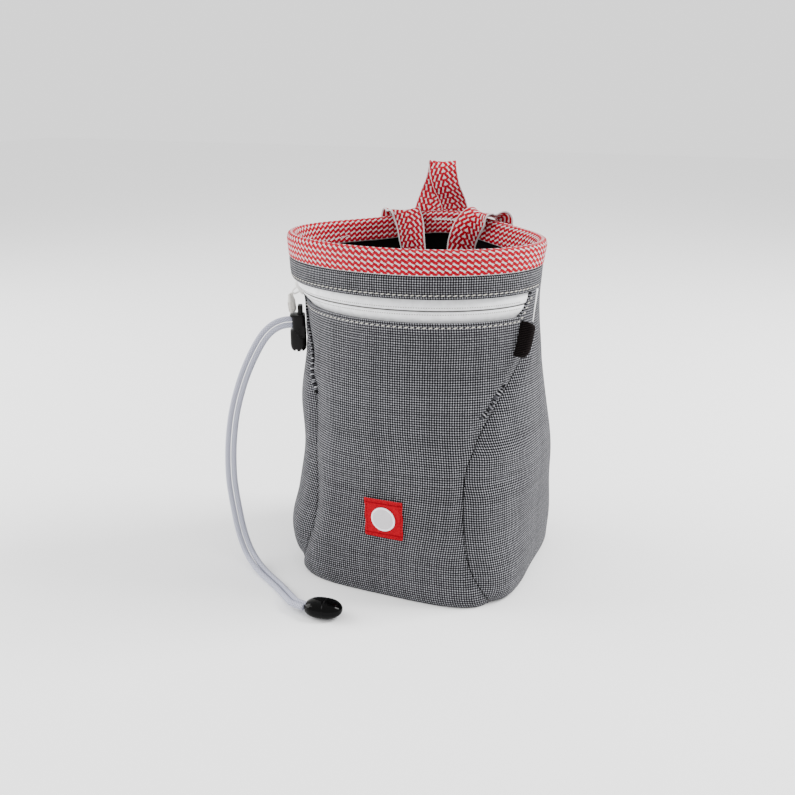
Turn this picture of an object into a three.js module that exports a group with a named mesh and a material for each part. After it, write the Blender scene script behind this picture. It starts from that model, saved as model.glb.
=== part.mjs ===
// A climbing chalk bag: four woven panels on a flat base, a zipped front pocket, a bound rim,
// two webbing straps over the back of the rim, a hang loop, a brush loop, and a doubled closing
// cord that runs from a sprung cord lock to an end cap on the ground. Sizes are in millimetres,
// +Z is up, the front faces -Y, and the origin is on the flat base below the middle of the rim.

import * as THREE from 'three';

// Bag body
const rimWidth = 130;
const rimDepth = 98;
const bodyWidth = 122;
const baseDepth = 116;
const bagHeight = 168.2;
const backRise = 5.7;
const baseSquareness = 4;
const rimSquareness = 2;
const baseSetBack = 2.8;

// Cloth, tape and the space between pieces
const clothThickness = 1.4;
const liningThickness = 1.0;
const tapeThickness = 1.0;
const webThickness = 1.2;
const baseThickness = 1.6;
const gap = 0.3;

// Rim, collar and zip
const bindingHeight = 11.6;
const collarHeight = 10.6;
const zipOpening = 10.6;
const zipTapeCover = 3;
const zipEndTurn = 82;
const zipCornerTurn = 11;
const zipTapeTurn = 79;
const seamPinch = 1.8;
const seamPinchWidth = 5;
const liningSlack = 2.2;

// Webbing straps and hang loop
const webWidth = 15;
const strapArch = 2.3;
const strapTail = 18;
const strapDrop = 36;
const strapReach = 13;
const strapTurn = 30;
const hangHeight = 25;
const hangTail = 12;
const hangBow = 4.3;
const hangOffset = -4.4;

// Brush loop on the right seam
const brushTopHeight = 133;
const brushLength = 16.6;
const brushReach = 6.8;
const brushWeb = 1.2;
const brushSlot = 1.2;
const brushDroop = 18;

// Label on the front panel
const labelSize = 18.5;
const labelHeight = 40.4;
const labelTurn = 1.1;
const labelThickness = 0.8;
const markRadius = 5.6;
const markThickness = 0.6;

// Cord lock, zip slider and zip pull on the left side
const hardwareTurn = -69;
const lockDrop = 31.9;
const lockHeight = 18.8;
const lockReach = 7.1;
const lockWidth = 9;
const buttonReach = 2.6;
const buttonWidth = 6;
const buttonTop = 4.7;
const buttonStem = 3.8;
const buttonTravel = 2.5;
const lockWall = 0.8;
const sliderLength = 8;
const sliderWidth = 7;
const sliderThickness = 2.4;
const crownReach = 3.7;
const crownLength = 2.2;
const crownWidth = 3.2;
const pullLength = 9.2;
const pullWidth = 6.4;
const pullThickness = 2.8;
const pullLean = -6.5;

// Closing cord and its end cap
const strandDiameter = 2.8;
const strandSpacing = 3.1;
const capLength = 17.8;
const capWidth = 12.4;
const capHeight = 8.6;
const capHeading = 10;

// The route of the cord's middle line, from the cord lock to the end cap
const cordRoute = [
  [-55.0, -23.7, 123.6],
  [-58.2, -25.3, 123.3],
  [-61.5, -26.9, 122.2],
  [-64.8, -28.4, 120.0],
  [-67.9, -29.8, 116.6],
  [-70.8, -31.4, 111.8],
  [-73.3, -33.0, 106.4],
  [-75.5, -34.9, 100.6],
  [-77.3, -36.8, 94.6],
  [-78.8, -38.6, 88.2],
  [-80.0, -40.4, 81.6],
  [-80.8, -42.2, 74.4],
  [-81.2, -43.8, 66.8],
  [-81.3, -45.2, 58.8],
  [-81.1, -46.2, 50.6],
  [-80.6, -46.8, 42.2],
  [-79.6, -47.0, 34.0],
  [-78.1, -47.4, 26.0],
  [-75.9, -48.6, 18.8],
  [-72.5, -50.6, 12.2],
  [-67.7, -53.6, 7.2],
  [-61.5, -57.4, 4.0],
  [-54.4, -61.6, 2.3],
  [-47.0, -66.0, 1.7],
  [-39.6, -70.8, 1.7],
  [-33.0, -76.0, 2.2],
  [-27.8, -80.6, 3.2],
  [-23.2, -84.4, 4.0],
  [-17.9, -85.7, 4.3],
];

// Body sections: height as a share of the bag's height, width and lean of the body's width
const sections = [
  { height: 0, width: 0.936, lean: 0.065 },
  { height: 0.036, width: 0.985, lean: 0.053 },
  { height: 0.12, width: 1.028, lean: 0.045 },
  { height: 0.24, width: 1.003, lean: 0.064 },
  { height: 0.36, width: 1.002, lean: 0.073 },
  { height: 0.51, width: 1.013, lean: 0.049 },
  { height: 0.65, width: 0.984, lean: 0.046 },
  { height: 0.8, width: 0.962, lean: 0.042 },
  { height: 0.87, width: 1.027, lean: 0.003 },
  { height: 0.94, width: 1.044, lean: -0.004 },
  { height: 1, width: rimWidth / bodyWidth, lean: 0 },
];

// Seams between the panels and the gussets: height as a share of the bag's height, and each
// seam's turn in degrees from the middle of the front, or of the back for the rear seams
const seams = [
  { height: 0, right: 51, left: 45, rear: 48 },
  { height: 0.07, right: 46, left: 39.5, rear: 43 },
  { height: 0.15, right: 41, left: 36, rear: 39 },
  { height: 0.22, right: 38, left: 37, rear: 37.5 },
  { height: 0.3, right: 37, left: 39.5, rear: 38 },
  { height: 0.4, right: 40, left: 44, rear: 42 },
  { height: 0.5, right: 49, left: 45, rear: 47 },
  { height: 0.58, right: 58, left: 47.5, rear: 54 },
  { height: 0.68, right: 69, left: 56, rear: 64 },
  { height: 0.77, right: 75.5, left: 69, rear: 73 },
  { height: 0.87, right: zipEndTurn, left: zipEndTurn, rear: zipEndTurn },
];

// Soft folds and dents: turn in degrees from the front, height and reach along the height as
// shares of the bag's height, reach across in degrees, slant in degrees for each share of
// height, and depth as a share of the body's width, outward when positive
const folds = [
  { turn: -49, height: 0.61, across: 4, along: 0.07, slant: 30, depth: 0.012 },
  { turn: -39, height: 0.5, across: 7, along: 0.12, slant: -20, depth: -0.012 },
  { turn: 58, height: 0.44, across: 16, along: 0.03, slant: 0, depth: 0.012 },
  { turn: 60, height: 0.36, across: 16, along: 0.03, slant: 0, depth: -0.009 },
  { turn: 20, height: 0.5, across: 22, along: 0.16, slant: 60, depth: -0.012 },
  { turn: -12, height: 0.3, across: 26, along: 0.14, slant: 0, depth: 0.01 },
  { turn: -75, height: 0.4, across: 14, along: 0.08, slant: 0, depth: -0.016 },
  { turn: -78, height: 0.16, across: 18, along: 0.09, slant: 0, depth: 0.014 },
  { turn: 172, height: 0.5, across: 30, along: 0.18, slant: 40, depth: -0.012 },
];

const shares = {
  squareTop: 0.65,
  squareFade: 0.8,
  taperTop: 0.8,
  riseStart: 0.8,
  riseEnd: 0.93,
  reliefFade: 0.66,
  reliefEnd: 0.78,
};
const riseTurn = 36;

const collarTop = bagHeight - bindingHeight;
const collarBottom = collarTop - collarHeight;
const zipBottom = collarBottom - zipOpening;
const zipMiddle = (collarBottom + zipBottom) / 2;
const panelTop = collarBottom - gap;
const lockBottom = zipMiddle - lockDrop;
const panelBottom = baseThickness + gap;
const labelOut = gap + labelThickness;

const degrees = THREE.MathUtils.degToRad;
const smooth = (value, low, high) => THREE.MathUtils.smoothstep(value, low, high);

// Smooth curve through one column of a table whose rows stand at shares of the bag's height
function readTable(rows, column, share) {
  const at = THREE.MathUtils.clamp(share, 0, rows[rows.length - 1].height);
  let row = 0;
  while (row < rows.length - 2 && rows[row + 1].height < at) row++;
  const slope = (index) => {
    const before = rows[Math.max(index - 1, 0)];
    const after = rows[Math.min(index + 1, rows.length - 1)];
    return (after[column] - before[column]) / (after.height - before.height);
  };
  const low = rows[row];
  const high = rows[row + 1];
  const span = high.height - low.height;
  const t = (at - low.height) / span;
  const bend = t * t * (3 - 2 * t);
  const easeIn = t * (1 - t) * (1 - t) * slope(row);
  const easeOut = t * t * (t - 1) * slope(row + 1);
  return low[column] + (high[column] - low[column]) * bend + span * (easeIn + easeOut);
}

// Turns run from the middle of the front, positive to the right, and +-180 is the back
const wrapTurn = (turn) => THREE.MathUtils.euclideanModulo(turn + 180, 360) - 180;
const seamTurn = (name, z) => readTable(seams, name, z / bagHeight);
const millimetresPerDegree = degrees(bodyWidth / 2);

function seamTurns(z) {
  const rear = 180 - seamTurn('rear', z);
  return [seamTurn('right', z), -seamTurn('left', z), rear, -rear];
}

function relief(turn, z) {
  const share = z / bagHeight;
  let depth = 0;
  for (const seam of seamTurns(z)) {
    const away = wrapTurn(turn - seam) * millimetresPerDegree / seamPinchWidth;
    depth -= seamPinch * Math.exp(-away * away);
  }
  for (const fold of folds) {
    const up = share - fold.height;
    const across = wrapTurn(turn - fold.turn - fold.slant * up) / fold.across;
    const along = up / fold.along;
    depth += fold.depth * bodyWidth * Math.exp(-across * across - along * along);
  }
  return depth * (1 - smooth(share, shares.reliefFade, shares.reliefEnd));
}

function backLift(turn, z) {
  const away = (180 - Math.abs(wrapTurn(turn))) / riseTurn;
  const ramp = smooth(z / bagHeight, shares.riseStart, shares.riseEnd);
  return backRise * Math.exp(-away * away) * ramp;
}

// A point of the bag's outer face, moved in by inset, or out when inset is negative
function bodyPoint(turn, z, inset = 0, folded = true) {
  const share = z / bagHeight;
  const taper = THREE.MathUtils.clamp(share / shares.taperTop, 0, 1);
  const square = THREE.MathUtils.clamp(share / shares.squareTop, 0, 1) ** shares.squareFade;
  const power = THREE.MathUtils.lerp(baseSquareness, rimSquareness, square);
  const move = (folded ? relief(turn, z) : 0) - inset;
  const halfWidth = readTable(sections, 'width', share) * bodyWidth / 2 + move;
  const halfDepth = THREE.MathUtils.lerp(baseDepth, rimDepth, taper) / 2 + move;
  const angle = degrees(turn);
  const x = Math.abs(Math.sin(angle) / halfWidth) ** power;
  const y = Math.abs(Math.cos(angle) / halfDepth) ** power;
  const radius = (x + y) ** (-1 / power);
  return new THREE.Vector3(
    readTable(sections, 'lean', share) * bodyWidth + radius * Math.sin(angle),
    baseSetBack * (1 - taper) - radius * Math.cos(angle),
    z + backLift(turn, z),
  );
}

// Directions at a point of the outer face: out of the cloth, along it to the right, and up,
// which is vertical, or follows the face's slope over the reach given
function seatAt(turn, z, slopeReach = 0) {
  const step = 0.5;
  const origin = bodyPoint(turn, z);
  const along = bodyPoint(turn + step, z).sub(bodyPoint(turn - step, z)).setZ(0).normalize();
  const up = new THREE.Vector3(0, 0, 1);
  if (slopeReach > 0) {
    up.copy(bodyPoint(turn, z + slopeReach)).sub(bodyPoint(turn, z - slopeReach));
    up.addScaledVector(along, -up.dot(along)).normalize();
  }
  const out = new THREE.Vector3().crossVectors(along, up).normalize();
  const place = (outBy, alongBy, upBy) => origin.clone()
    .addScaledVector(out, outBy)
    .addScaledVector(along, alongBy)
    .addScaledVector(up, upBy);
  return { origin, out, along, up, place };
}

// Joins rings with equal numbers of points into one closed body. Unless the last ring joins
// the first, each end is closed by a strip between the ring's two halves
function loft(rings, joined = false) {
  const count = rings[0].length;
  const points = rings.flat();
  const index = [];
  const quad = (a, b, c, d) => index.push(a, b, c, a, c, d);
  const spans = joined ? rings.length : rings.length - 1;
  for (let ring = 0; ring < spans; ring++) {
    const here = ring * count;
    const next = ((ring + 1) % rings.length) * count;
    for (let j = 0; j < count; j++) {
      const k = (j + 1) % count;
      quad(here + j, here + k, next + k, next + j);
    }
  }
  if (!joined) {
    const last = (rings.length - 1) * count;
    for (let j = 0; j < count / 2 - 1; j++) {
      const k = count - 1 - j;
      quad(j + 1, j, k, k - 1);
      quad(last + j, last + j + 1, last + k - 1, last + k);
    }
  }
  let volume = 0;
  for (let i = 0; i < index.length; i += 3) {
    const [a, b, c] = index.slice(i, i + 3).map((at) => points[at]);
    volume += a.dot(new THREE.Vector3().crossVectors(b, c));
  }
  if (volume < 0) index.reverse();
  const geometry = new THREE.BufferGeometry();
  geometry.setAttribute('position',
    new THREE.Float32BufferAttribute(points.flatMap((point) => point.toArray()), 3));
  geometry.setIndex(index);
  geometry.computeVertexNormals();
  return geometry;
}

const steps = (count, low, high) =>
  Array.from({ length: count + 1 }, (_, i) => low + (high - low) * i / count);

// A closed oval or rounded rectangle about a centre, in the plane of two directions
function ovalRing(centre, first, second, halfFirst, halfSecond, count = 12, power = 4) {
  return Array.from({ length: count }, (_, i) => {
    const angle = (i + 0.5) / count * Math.PI * 2;
    const bend = (value) => Math.sign(value) * Math.abs(value) ** (2 / power);
    return centre.clone()
      .addScaledVector(first, bend(Math.cos(angle)) * halfFirst)
      .addScaledVector(second, bend(Math.sin(angle)) * halfSecond);
  });
}

// One panel of the body's wall between two edges, given as turns for each height
function panel(leftTurn, rightTurn, topAt, columns) {
  const rows = 17;
  const crowding = 1.25;
  const trim = gap / 2 / millimetresPerDegree;
  const rings = steps(rows, 0, 1).map((level) => {
    const face = (inset) => steps(columns, 0, 1).map((across) => {
      const topTurn = THREE.MathUtils.lerp(leftTurn(panelTop), rightTurn(panelTop), across);
      const rise = level ** crowding;
      const z = THREE.MathUtils.lerp(panelBottom, topAt(topTurn), rise);
      const seamZ = THREE.MathUtils.lerp(panelBottom, panelTop, rise);
      const low = leftTurn(seamZ) + trim;
      const high = rightTurn(seamZ) - trim;
      return bodyPoint(THREE.MathUtils.lerp(low, high, across), z, inset);
    });
    return [...face(0), ...face(clothThickness).reverse()];
  });
  return loft(rings);
}

// Upper edge of the pocket panel, which rises to meet the collar at both ends of the zip
function pocketTop(turn) {
  const rise = smooth(Math.abs(turn), zipEndTurn - zipCornerTurn, zipEndTurn);
  return THREE.MathUtils.lerp(zipBottom, panelTop, rise);
}

function makeFrontPanel() {
  return panel((z) => -seamTurn('left', z), (z) => seamTurn('right', z), pocketTop, 24);
}

function makeBackPanel() {
  const right = (z) => 180 - seamTurn('rear', z);
  return panel(right, (z) => 180 + seamTurn('rear', z), () => panelTop, 16);
}

function makeGussetRight() {
  return panel((z) => seamTurn('right', z), (z) => 180 - seamTurn('rear', z), () => panelTop, 9);
}

function makeGussetLeft() {
  return panel((z) => seamTurn('rear', z) - 180, (z) => -seamTurn('left', z), () => panelTop, 9);
}

// Rings around the whole bag share these turns, so that their flat facets lie parallel
const ringTurns = steps(44, -180, 180).slice(0, -1);

function makeBasePanel() {
  const edge = [[0, 0.9], [0.6, 0.2], [baseThickness, 0]];
  return loft(edge.map(([z, inset]) => ringTurns.map((turn) => bodyPoint(turn, z, inset, false))));
}

const collarInset = tapeThickness + gap;
const collarUnderTop = bagHeight - tapeThickness - 2 * gap - 0.9;
const liningInset = collarInset + clothThickness + gap;
const lowerLiningInset = clothThickness + seamPinch + liningSlack;
const bindingThickness = liningInset + liningThickness + gap + tapeThickness;

function makeCollar() {
  const kink = 0.8;
  const section = [
    [0, collarBottom],
    [0, (collarBottom + collarTop) / 2],
    [0, collarTop - 2 * gap],
    [collarInset, collarTop - gap + kink / 2],
    [collarInset, collarUnderTop],
    [collarInset + clothThickness, collarUnderTop],
    [collarInset + clothThickness, collarTop - kink],
    [clothThickness, collarTop - 2 * gap - kink],
    [clothThickness, (collarBottom + collarTop) / 2 - kink],
    [clothThickness, collarBottom],
  ];
  const rings = ringTurns.map((turn) =>
    section.map(([inset, z]) => bodyPoint(turn, z, inset)));
  return loft(rings, true);
}

function makeBinding() {
  const shoulder = bagHeight - 1.6;
  const inner = bindingThickness - tapeThickness;
  const section = [
    [0, collarTop],
    [0.2, shoulder],
    [bindingThickness / 2, bagHeight],
    [bindingThickness - 0.2, shoulder],
    [bindingThickness, collarTop],
    [inner, collarTop],
    [inner - 0.1, shoulder - 0.3],
    [bindingThickness / 2, bagHeight - tapeThickness],
    [tapeThickness + 0.1, shoulder - 0.3],
    [tapeThickness, collarTop],
  ];
  const rings = ringTurns.map((turn) =>
    section.map(([inset, z]) => bodyPoint(turn, z, inset)));
  return loft(rings, true);
}

function makeLining() {
  const insetAt = (z) => {
    const blend = smooth(z, zipMiddle, collarTop);
    return THREE.MathUtils.lerp(lowerLiningInset, liningInset, blend);
  };
  const bottom = panelBottom + gap;
  const sides = [0.1, 0.3, 0.55, 0.78, 0.83, 0.885, 0.935, 0.965].map((share) => share * bagHeight);
  const ring = (z, inset) => ringTurns.map((turn) => bodyPoint(turn, z, inset, false));
  const outer = [bottom, ...sides, collarUnderTop];
  const inner = [collarUnderTop, ...sides.reverse(), bottom + liningThickness];
  return loft([
    ...outer.map((z) => ring(z, insetAt(z))),
    ...inner.map((z) => ring(z, insetAt(z) + liningThickness)),
  ]);
}

// The two halves of the zip tape lie behind the cloth edges and meet at the teeth
function zipTape(low, high) {
  const inset = clothThickness + 3 * gap;
  const middle = (low + high) / 2;
  const rings = steps(28, -zipTapeTurn, zipTapeTurn).map((turn) => [
    ...[low, middle, high].map((z) => bodyPoint(turn, z, inset)),
    ...[high, middle, low].map((z) => bodyPoint(turn, z, inset + tapeThickness)),
  ]);
  return loft(rings);
}

// A flat web along a path, with its width held close to the side direction
function web(path, side, width, thickness) {
  const rings = path.map((point, i) => {
    const before = path[Math.max(i - 1, 0)];
    const after = path[Math.min(i + 1, path.length - 1)];
    const tangent = after.clone().sub(before).normalize();
    const across = side(i / (path.length - 1));
    across.addScaledVector(tangent, -across.dot(tangent)).normalize();
    const face = new THREE.Vector3().crossVectors(across, tangent).normalize();
    const corner = (a, b) => point.clone()
      .addScaledVector(across, a * width / 2)
      .addScaledVector(face, b * thickness / 2);
    return [corner(-1, -1), corner(1, -1), corner(1, 1), corner(-1, 1)];
  });
  return loft(rings);
}

const smoothPath = (points, count) =>
  new THREE.CatmullRomCurve3(points, false, 'centripetal').getSpacedPoints(count);

// The direction across a web that turns with the bag's face from one turn to the next
function facingSide(turns) {
  const sides = turns.map((turn) => seatAt(turn, collarTop).along);
  return (share) => {
    const at = share * (sides.length - 1);
    const row = Math.min(Math.floor(at), sides.length - 2);
    return sides[row].clone().lerp(sides[row + 1], at - row);
  };
}

// A strap starts on the outside of the back, arches over the rim and ends on the lining:
// swing in degrees, and heights and insets as shares of the sizes named beside them
const strapPath = [
  { swing: 6, tail: 1, arch: 0, drop: 0, seat: 1, reach: 0 },
  { swing: 5, tail: 0.45, arch: 0, drop: 0, seat: 1, reach: 0 },
  { swing: 3, tail: 0, arch: 0.15, drop: 0, seat: 1, reach: -0.1 },
  { swing: -0.5, tail: 0, arch: 1, drop: 0, seat: 0, reach: 0.08 },
  { swing: -3, tail: 0, arch: 1, drop: 0, seat: 0, reach: 0.42 },
  { swing: -5.8, tail: 0, arch: 0, drop: 0.11, seat: 0, reach: 0.72 },
  { swing: -8.2, tail: 0, arch: 0, drop: 0.42, seat: 0, reach: 0.95 },
  { swing: -9.4, tail: 0, arch: 0, drop: 0.72, seat: 0, reach: 0.86 },
  { swing: -10, tail: 0, arch: 0, drop: 1, seat: -1, reach: 0 },
];

function makeStrap(side, turnShift) {
  const outsideSeat = -(gap + webThickness / 2);
  const insideSeat = lowerLiningInset + liningThickness + 4 * gap - outsideSeat;
  const turns = strapPath.map((row) => side * (180 - strapTurn - turnShift - row.swing));
  const points = strapPath.map((row, i) => {
    const turn = turns[i];
    const rimPoint = bodyPoint(turn, bagHeight, 0);
    const height = row.arch * strapArch - row.tail * strapTail - row.drop * strapDrop;
    const seat = row.seat > 0 ? outsideSeat : -row.seat * insideSeat;
    const level = bagHeight + Math.min(height, 0);
    const point = bodyPoint(turn, level, seat + row.reach * strapReach);
    point.z = rimPoint.z + height;
    return point;
  });
  return web(smoothPath(points, 26), facingSide(turns), webWidth, webThickness);
}

// The hang loop goes up from the outside of the back and down again beside its own start:
// the two legs share the sideways place, height, and bow of the middle line
const hangPath = [
  { side: 1, rise: 0, tail: 1, bow: 0 },
  { side: 1, rise: 0, tail: 0.1, bow: 0 },
  { side: 0.86, rise: 0.2, tail: 0, bow: -0.35 },
  { side: 0.5, rise: 0.55, tail: 0, bow: -1 },
  { side: 0.2, rise: 0.86, tail: 0, bow: -0.72 },
  { side: 0, rise: 1, tail: 0, bow: 0 },
  { side: -0.2, rise: 0.86, tail: 0, bow: 0.72 },
  { side: -0.5, rise: 0.55, tail: 0, bow: 1 },
  { side: -0.8, rise: 0.3, tail: 0, bow: 0.8 },
  { side: -0.9, rise: 0.15, tail: 0, bow: 0.4 },
  { side: -1, rise: 0, tail: 0.1, bow: 0 },
  { side: -1, rise: 0, tail: 1, bow: 0 },
];

function makeHangLoop() {
  const legShift = webWidth / 2 + gap / 2;
  const rimPoint = bodyPoint(180, bagHeight, 0);
  const places = hangPath.map((row) => hangOffset + row.side * legShift);
  const turns = places.map((x) => 180 - THREE.MathUtils.radToDeg(Math.atan2(x, rimPoint.y)));
  const points = hangPath.map((row, i) => {
    const height = row.rise * hangHeight - row.tail * hangTail;
    const seat = -(gap + webThickness / 2);
    const point = bodyPoint(turns[i], bagHeight + Math.min(height, 0), seat);
    point.x = places[i];
    point.y += row.bow * hangBow;
    point.z = rimPoint.z + height;
    return point;
  });
  return web(smoothPath(points, 34), facingSide(turns), webWidth, webThickness);
}

// A folded elastic web sewn into the right seam, open from end to end along the seam
function makeBrushLoop() {
  const seamPoint = (z) => bodyPoint(seamTurn('right', z), z);
  const top = seamPoint(brushTopHeight);
  let bottomHeight = brushTopHeight - brushLength / 2;
  while (seamPoint(bottomHeight).distanceTo(top) < brushLength) bottomHeight -= 0.1;
  const bottom = seamPoint(bottomHeight);
  const alongSeam = bottom.clone().sub(top).normalize();
  const middle = (brushTopHeight + bottomHeight) / 2;
  const seat = seatAt(seamTurn('right', middle), middle);
  const out = seat.out.clone().addScaledVector(seat.up, -Math.tan(degrees(brushDroop)));
  out.addScaledVector(alongSeam, -out.dot(alongSeam)).normalize();
  const across = new THREE.Vector3().crossVectors(alongSeam, out);
  const chord = top.clone().add(bottom).multiplyScalar(0.5);
  const bulge = Math.max(0, seat.origin.clone().sub(chord).dot(out));
  const start = bulge + gap;
  const outerHalf = brushWeb + brushSlot / 2;
  const innerHalf = brushSlot / 2;
  const bend = brushReach - outerHalf;
  const section = [
    [0, -outerHalf], [bend, -outerHalf], [brushReach, 0], [bend, outerHalf], [0, outerHalf],
    [0, innerHalf], [bend, innerHalf], [brushReach - brushWeb, 0], [bend, -innerHalf],
    [0, -innerHalf],
  ];
  const rings = [0, 1].map((end) => section.map(([outBy, acrossBy]) => top.clone()
    .lerp(bottom, end)
    .addScaledVector(out, start + outBy)
    .addScaledVector(across, acrossBy)));
  return loft(rings);
}

// The label follows the front panel; its turn comes from its sideways place on the cloth
function labelPoint(acrossBy, upBy, outBy) {
  const z = labelHeight + upBy;
  const middle = bodyPoint(labelTurn, z);
  const across = THREE.MathUtils.radToDeg(Math.atan2(acrossBy, -middle.y));
  return bodyPoint(labelTurn + across, z, -outBy);
}

function makeLabel() {
  const cells = 4;
  const half = labelSize / 2;
  const rings = steps(cells, -half, half).map((upBy) => [
    ...steps(cells, -half, half).map((acrossBy) => labelPoint(acrossBy, upBy, labelOut)),
    ...steps(cells, half, -half).map((acrossBy) => labelPoint(acrossBy, upBy, gap)),
  ]);
  return loft(rings);
}

// A plain round mark in the middle of the label
function makeLabelMark() {
  const bevel = markThickness / 3;
  const profile = [
    new THREE.Vector2(0, 0),
    new THREE.Vector2(markRadius, 0),
    new THREE.Vector2(markRadius, markThickness - bevel),
    new THREE.Vector2(markRadius - bevel, markThickness),
    new THREE.Vector2(0, markThickness),
  ];
  return new THREE.LatheGeometry(profile, 18);
}

// Cord lock: rings from its underside up the outside and down into the button's well
function makeLockBody(seat) {
  const inner = gap;
  const outer = gap + lockReach;
  const wellOuter = gap + lockWall + buttonReach + 2 * gap;
  const ring = (z, low, high, halfWidth) =>
    ovalRing(seat.place((low + high) / 2, 0, z), seat.out, seat.along, (high - low) / 2, halfWidth);
  const half = lockWidth / 2;
  const waist = lockReach * 0.14;
  return loft([
    ring(0, inner + lockReach * 0.12, outer - lockReach * 0.25, half * 0.7),
    ring(lockHeight * 0.08, inner, outer - lockReach * 0.05, half * 0.94),
    ring(lockHeight * 0.22, inner, outer, half),
    ring(lockHeight * 0.57, inner, outer, half),
    ring(lockHeight * 0.61, inner, outer - waist, half),
    ring(lockHeight * 0.945, inner, outer - waist, half),
    ring(lockHeight * 0.96, inner, outer, half * 0.97),
    ring(lockHeight, inner, outer - gap, half * 0.94),
    ring(lockHeight, inner + lockWall, wellOuter, buttonWidth / 2 + gap),
    ring(lockHeight - buttonStem - buttonTravel - gap, inner + lockWall, wellOuter,
      buttonWidth / 2 + gap),
  ]);
}

function makeLockButton(seat) {
  const low = 2 * gap + lockWall;
  const middle = low + buttonReach / 2;
  const ring = (z, share) => ovalRing(seat.place(middle, 0, z), seat.out, seat.along,
    buttonReach / 2 * share, buttonWidth / 2 * share);
  const top = lockHeight + buttonTop;
  return loft([
    ring(lockHeight - buttonStem, 1),
    ring(lockHeight, 1),
    ring(top - 0.8, 1),
    ring(top, 0.78),
  ]);
}

// Zip slider: a flat body on the tape and a narrow crown that carries the pull
function makeSlider(seat) {
  const onTape = -clothThickness;
  const top = onTape + sliderThickness;
  const ring = (out, halfAlong, halfUp) =>
    ovalRing(seat.place(out, 0, 0), seat.along, seat.up, halfAlong, halfUp);
  return loft([
    ring(onTape, sliderLength / 2, sliderWidth / 2),
    ring(top - 0.5, sliderLength / 2, sliderWidth / 2),
    ring(top, sliderLength / 2 - 0.6, sliderWidth / 2 - 0.6),
    ring(top + 0.1, crownLength / 2, crownWidth / 2),
    ring(top + crownReach, crownLength / 2, crownWidth / 2 - 0.4),
  ]);
}

// The zip pull hangs from the crown; the table gives its sections from the pivot down:
// place along the pull, half thickness and half width, all as shares of the pull's sizes
const pullSections = [
  { along: -0.06, thick: 0.15, wide: 0.3 },
  { along: 0, thick: 0.28, wide: 0.36 },
  { along: 0.16, thick: 0.3, wide: 0.42 },
  { along: 0.36, thick: 0.48, wide: 0.5 },
  { along: 0.82, thick: 0.5, wide: 0.5 },
  { along: 0.96, thick: 0.4, wide: 0.42 },
  { along: 1, thick: 0.22, wide: 0.3 },
];
const pullPivotOut = -clothThickness + sliderThickness + crownReach + gap + pullThickness * 0.3;

function makePull(sloped, upright) {
  const lean = degrees(pullLean);
  const down = upright.up.clone().multiplyScalar(-Math.cos(lean))
    .addScaledVector(upright.out, Math.sin(lean));
  const thick = new THREE.Vector3().crossVectors(down, upright.along).normalize();
  const pivot = sloped.place(pullPivotOut, 0, 0);
  return loft(pullSections.map((row) => ovalRing(
    pivot.clone().addScaledVector(down, row.along * pullLength),
    thick, upright.along, row.thick * pullThickness, row.wide * pullWidth)));
}

// Each strand runs beside the cord's middle line, on the side given, and the pair turns
// from one above the other at the lock to side by side on the ground
const cordLine = new THREE.CatmullRomCurve3(
  cordRoute.map((point) => new THREE.Vector3(...point)), false, 'centripetal');

function makeStrand(side) {
  const count = 56;
  const facing = new THREE.Vector3(0.41, -0.91, 0.3).normalize();
  const points = steps(count, 0, 1).map((share) => {
    const tangent = cordLine.getTangentAt(share);
    const flat = smooth(share, 0.55, 0.85);
    const view = facing.clone().lerp(new THREE.Vector3(0, 0, 1), flat);
    const offset = new THREE.Vector3().crossVectors(tangent, view).normalize();
    return cordLine.getPointAt(share).addScaledVector(offset, side * strandSpacing / 2);
  });
  const sides = 8;
  const outline = new THREE.Shape(Array.from({ length: sides }, (_, i) => {
    const angle = (i + 0.5) / sides * Math.PI * 2;
    return new THREE.Vector2(Math.cos(angle), Math.sin(angle)).multiplyScalar(strandDiameter / 2);
  }));
  return new THREE.ExtrudeGeometry(outline, {
    steps: 38,
    extrudePath: new THREE.CatmullRomCurve3(points, false, 'centripetal'),
  });
}

// Flattened oval end cap that lies on the ground in line with the cord's last stretch:
// place along the cap as a share of its length, and the size there as a share of the middle
const capSections = [
  { along: 0, size: 0.58 },
  { along: 0.08, size: 0.78 },
  { along: 0.25, size: 0.96 },
  { along: 0.45, size: 1 },
  { along: 0.65, size: 0.96 },
  { along: 0.84, size: 0.76 },
  { along: 0.95, size: 0.48 },
  { along: 1, size: 0.2 },
];

function makeEndCap() {
  const heading = degrees(capHeading);
  const forward = new THREE.Vector3(Math.cos(heading), Math.sin(heading), 0);
  const across = new THREE.Vector3(-Math.sin(heading), Math.cos(heading), 0);
  const up = new THREE.Vector3(0, 0, 1);
  const start = new THREE.Vector3(...cordRoute[cordRoute.length - 1]).addScaledVector(forward, 4 * gap);
  start.z = capHeight / 2;
  return loft(capSections.map((row) => ovalRing(
    start.clone().addScaledVector(forward, row.along * capLength),
    across, up, row.size * capWidth / 2, row.size * capHeight / 2, 14, 2.3)));
}

const bag = new THREE.Group();

function addPiece(name, geometry, colour, roughness, metalness = 0) {
  const material = new THREE.MeshStandardMaterial({ color: colour, roughness, metalness });
  const mesh = new THREE.Mesh(geometry, material);
  mesh.name = name;
  bag.add(mesh);
  return mesh;
}

const weave = 0x75777a;
const blackCloth = 0x17171a;
const redWhite = 0xdf7d83;
const zipWhite = 0xe6e7e9;
const blackPlastic = 0x121214;
const cordWhite = 0xd7dcec;

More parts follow.
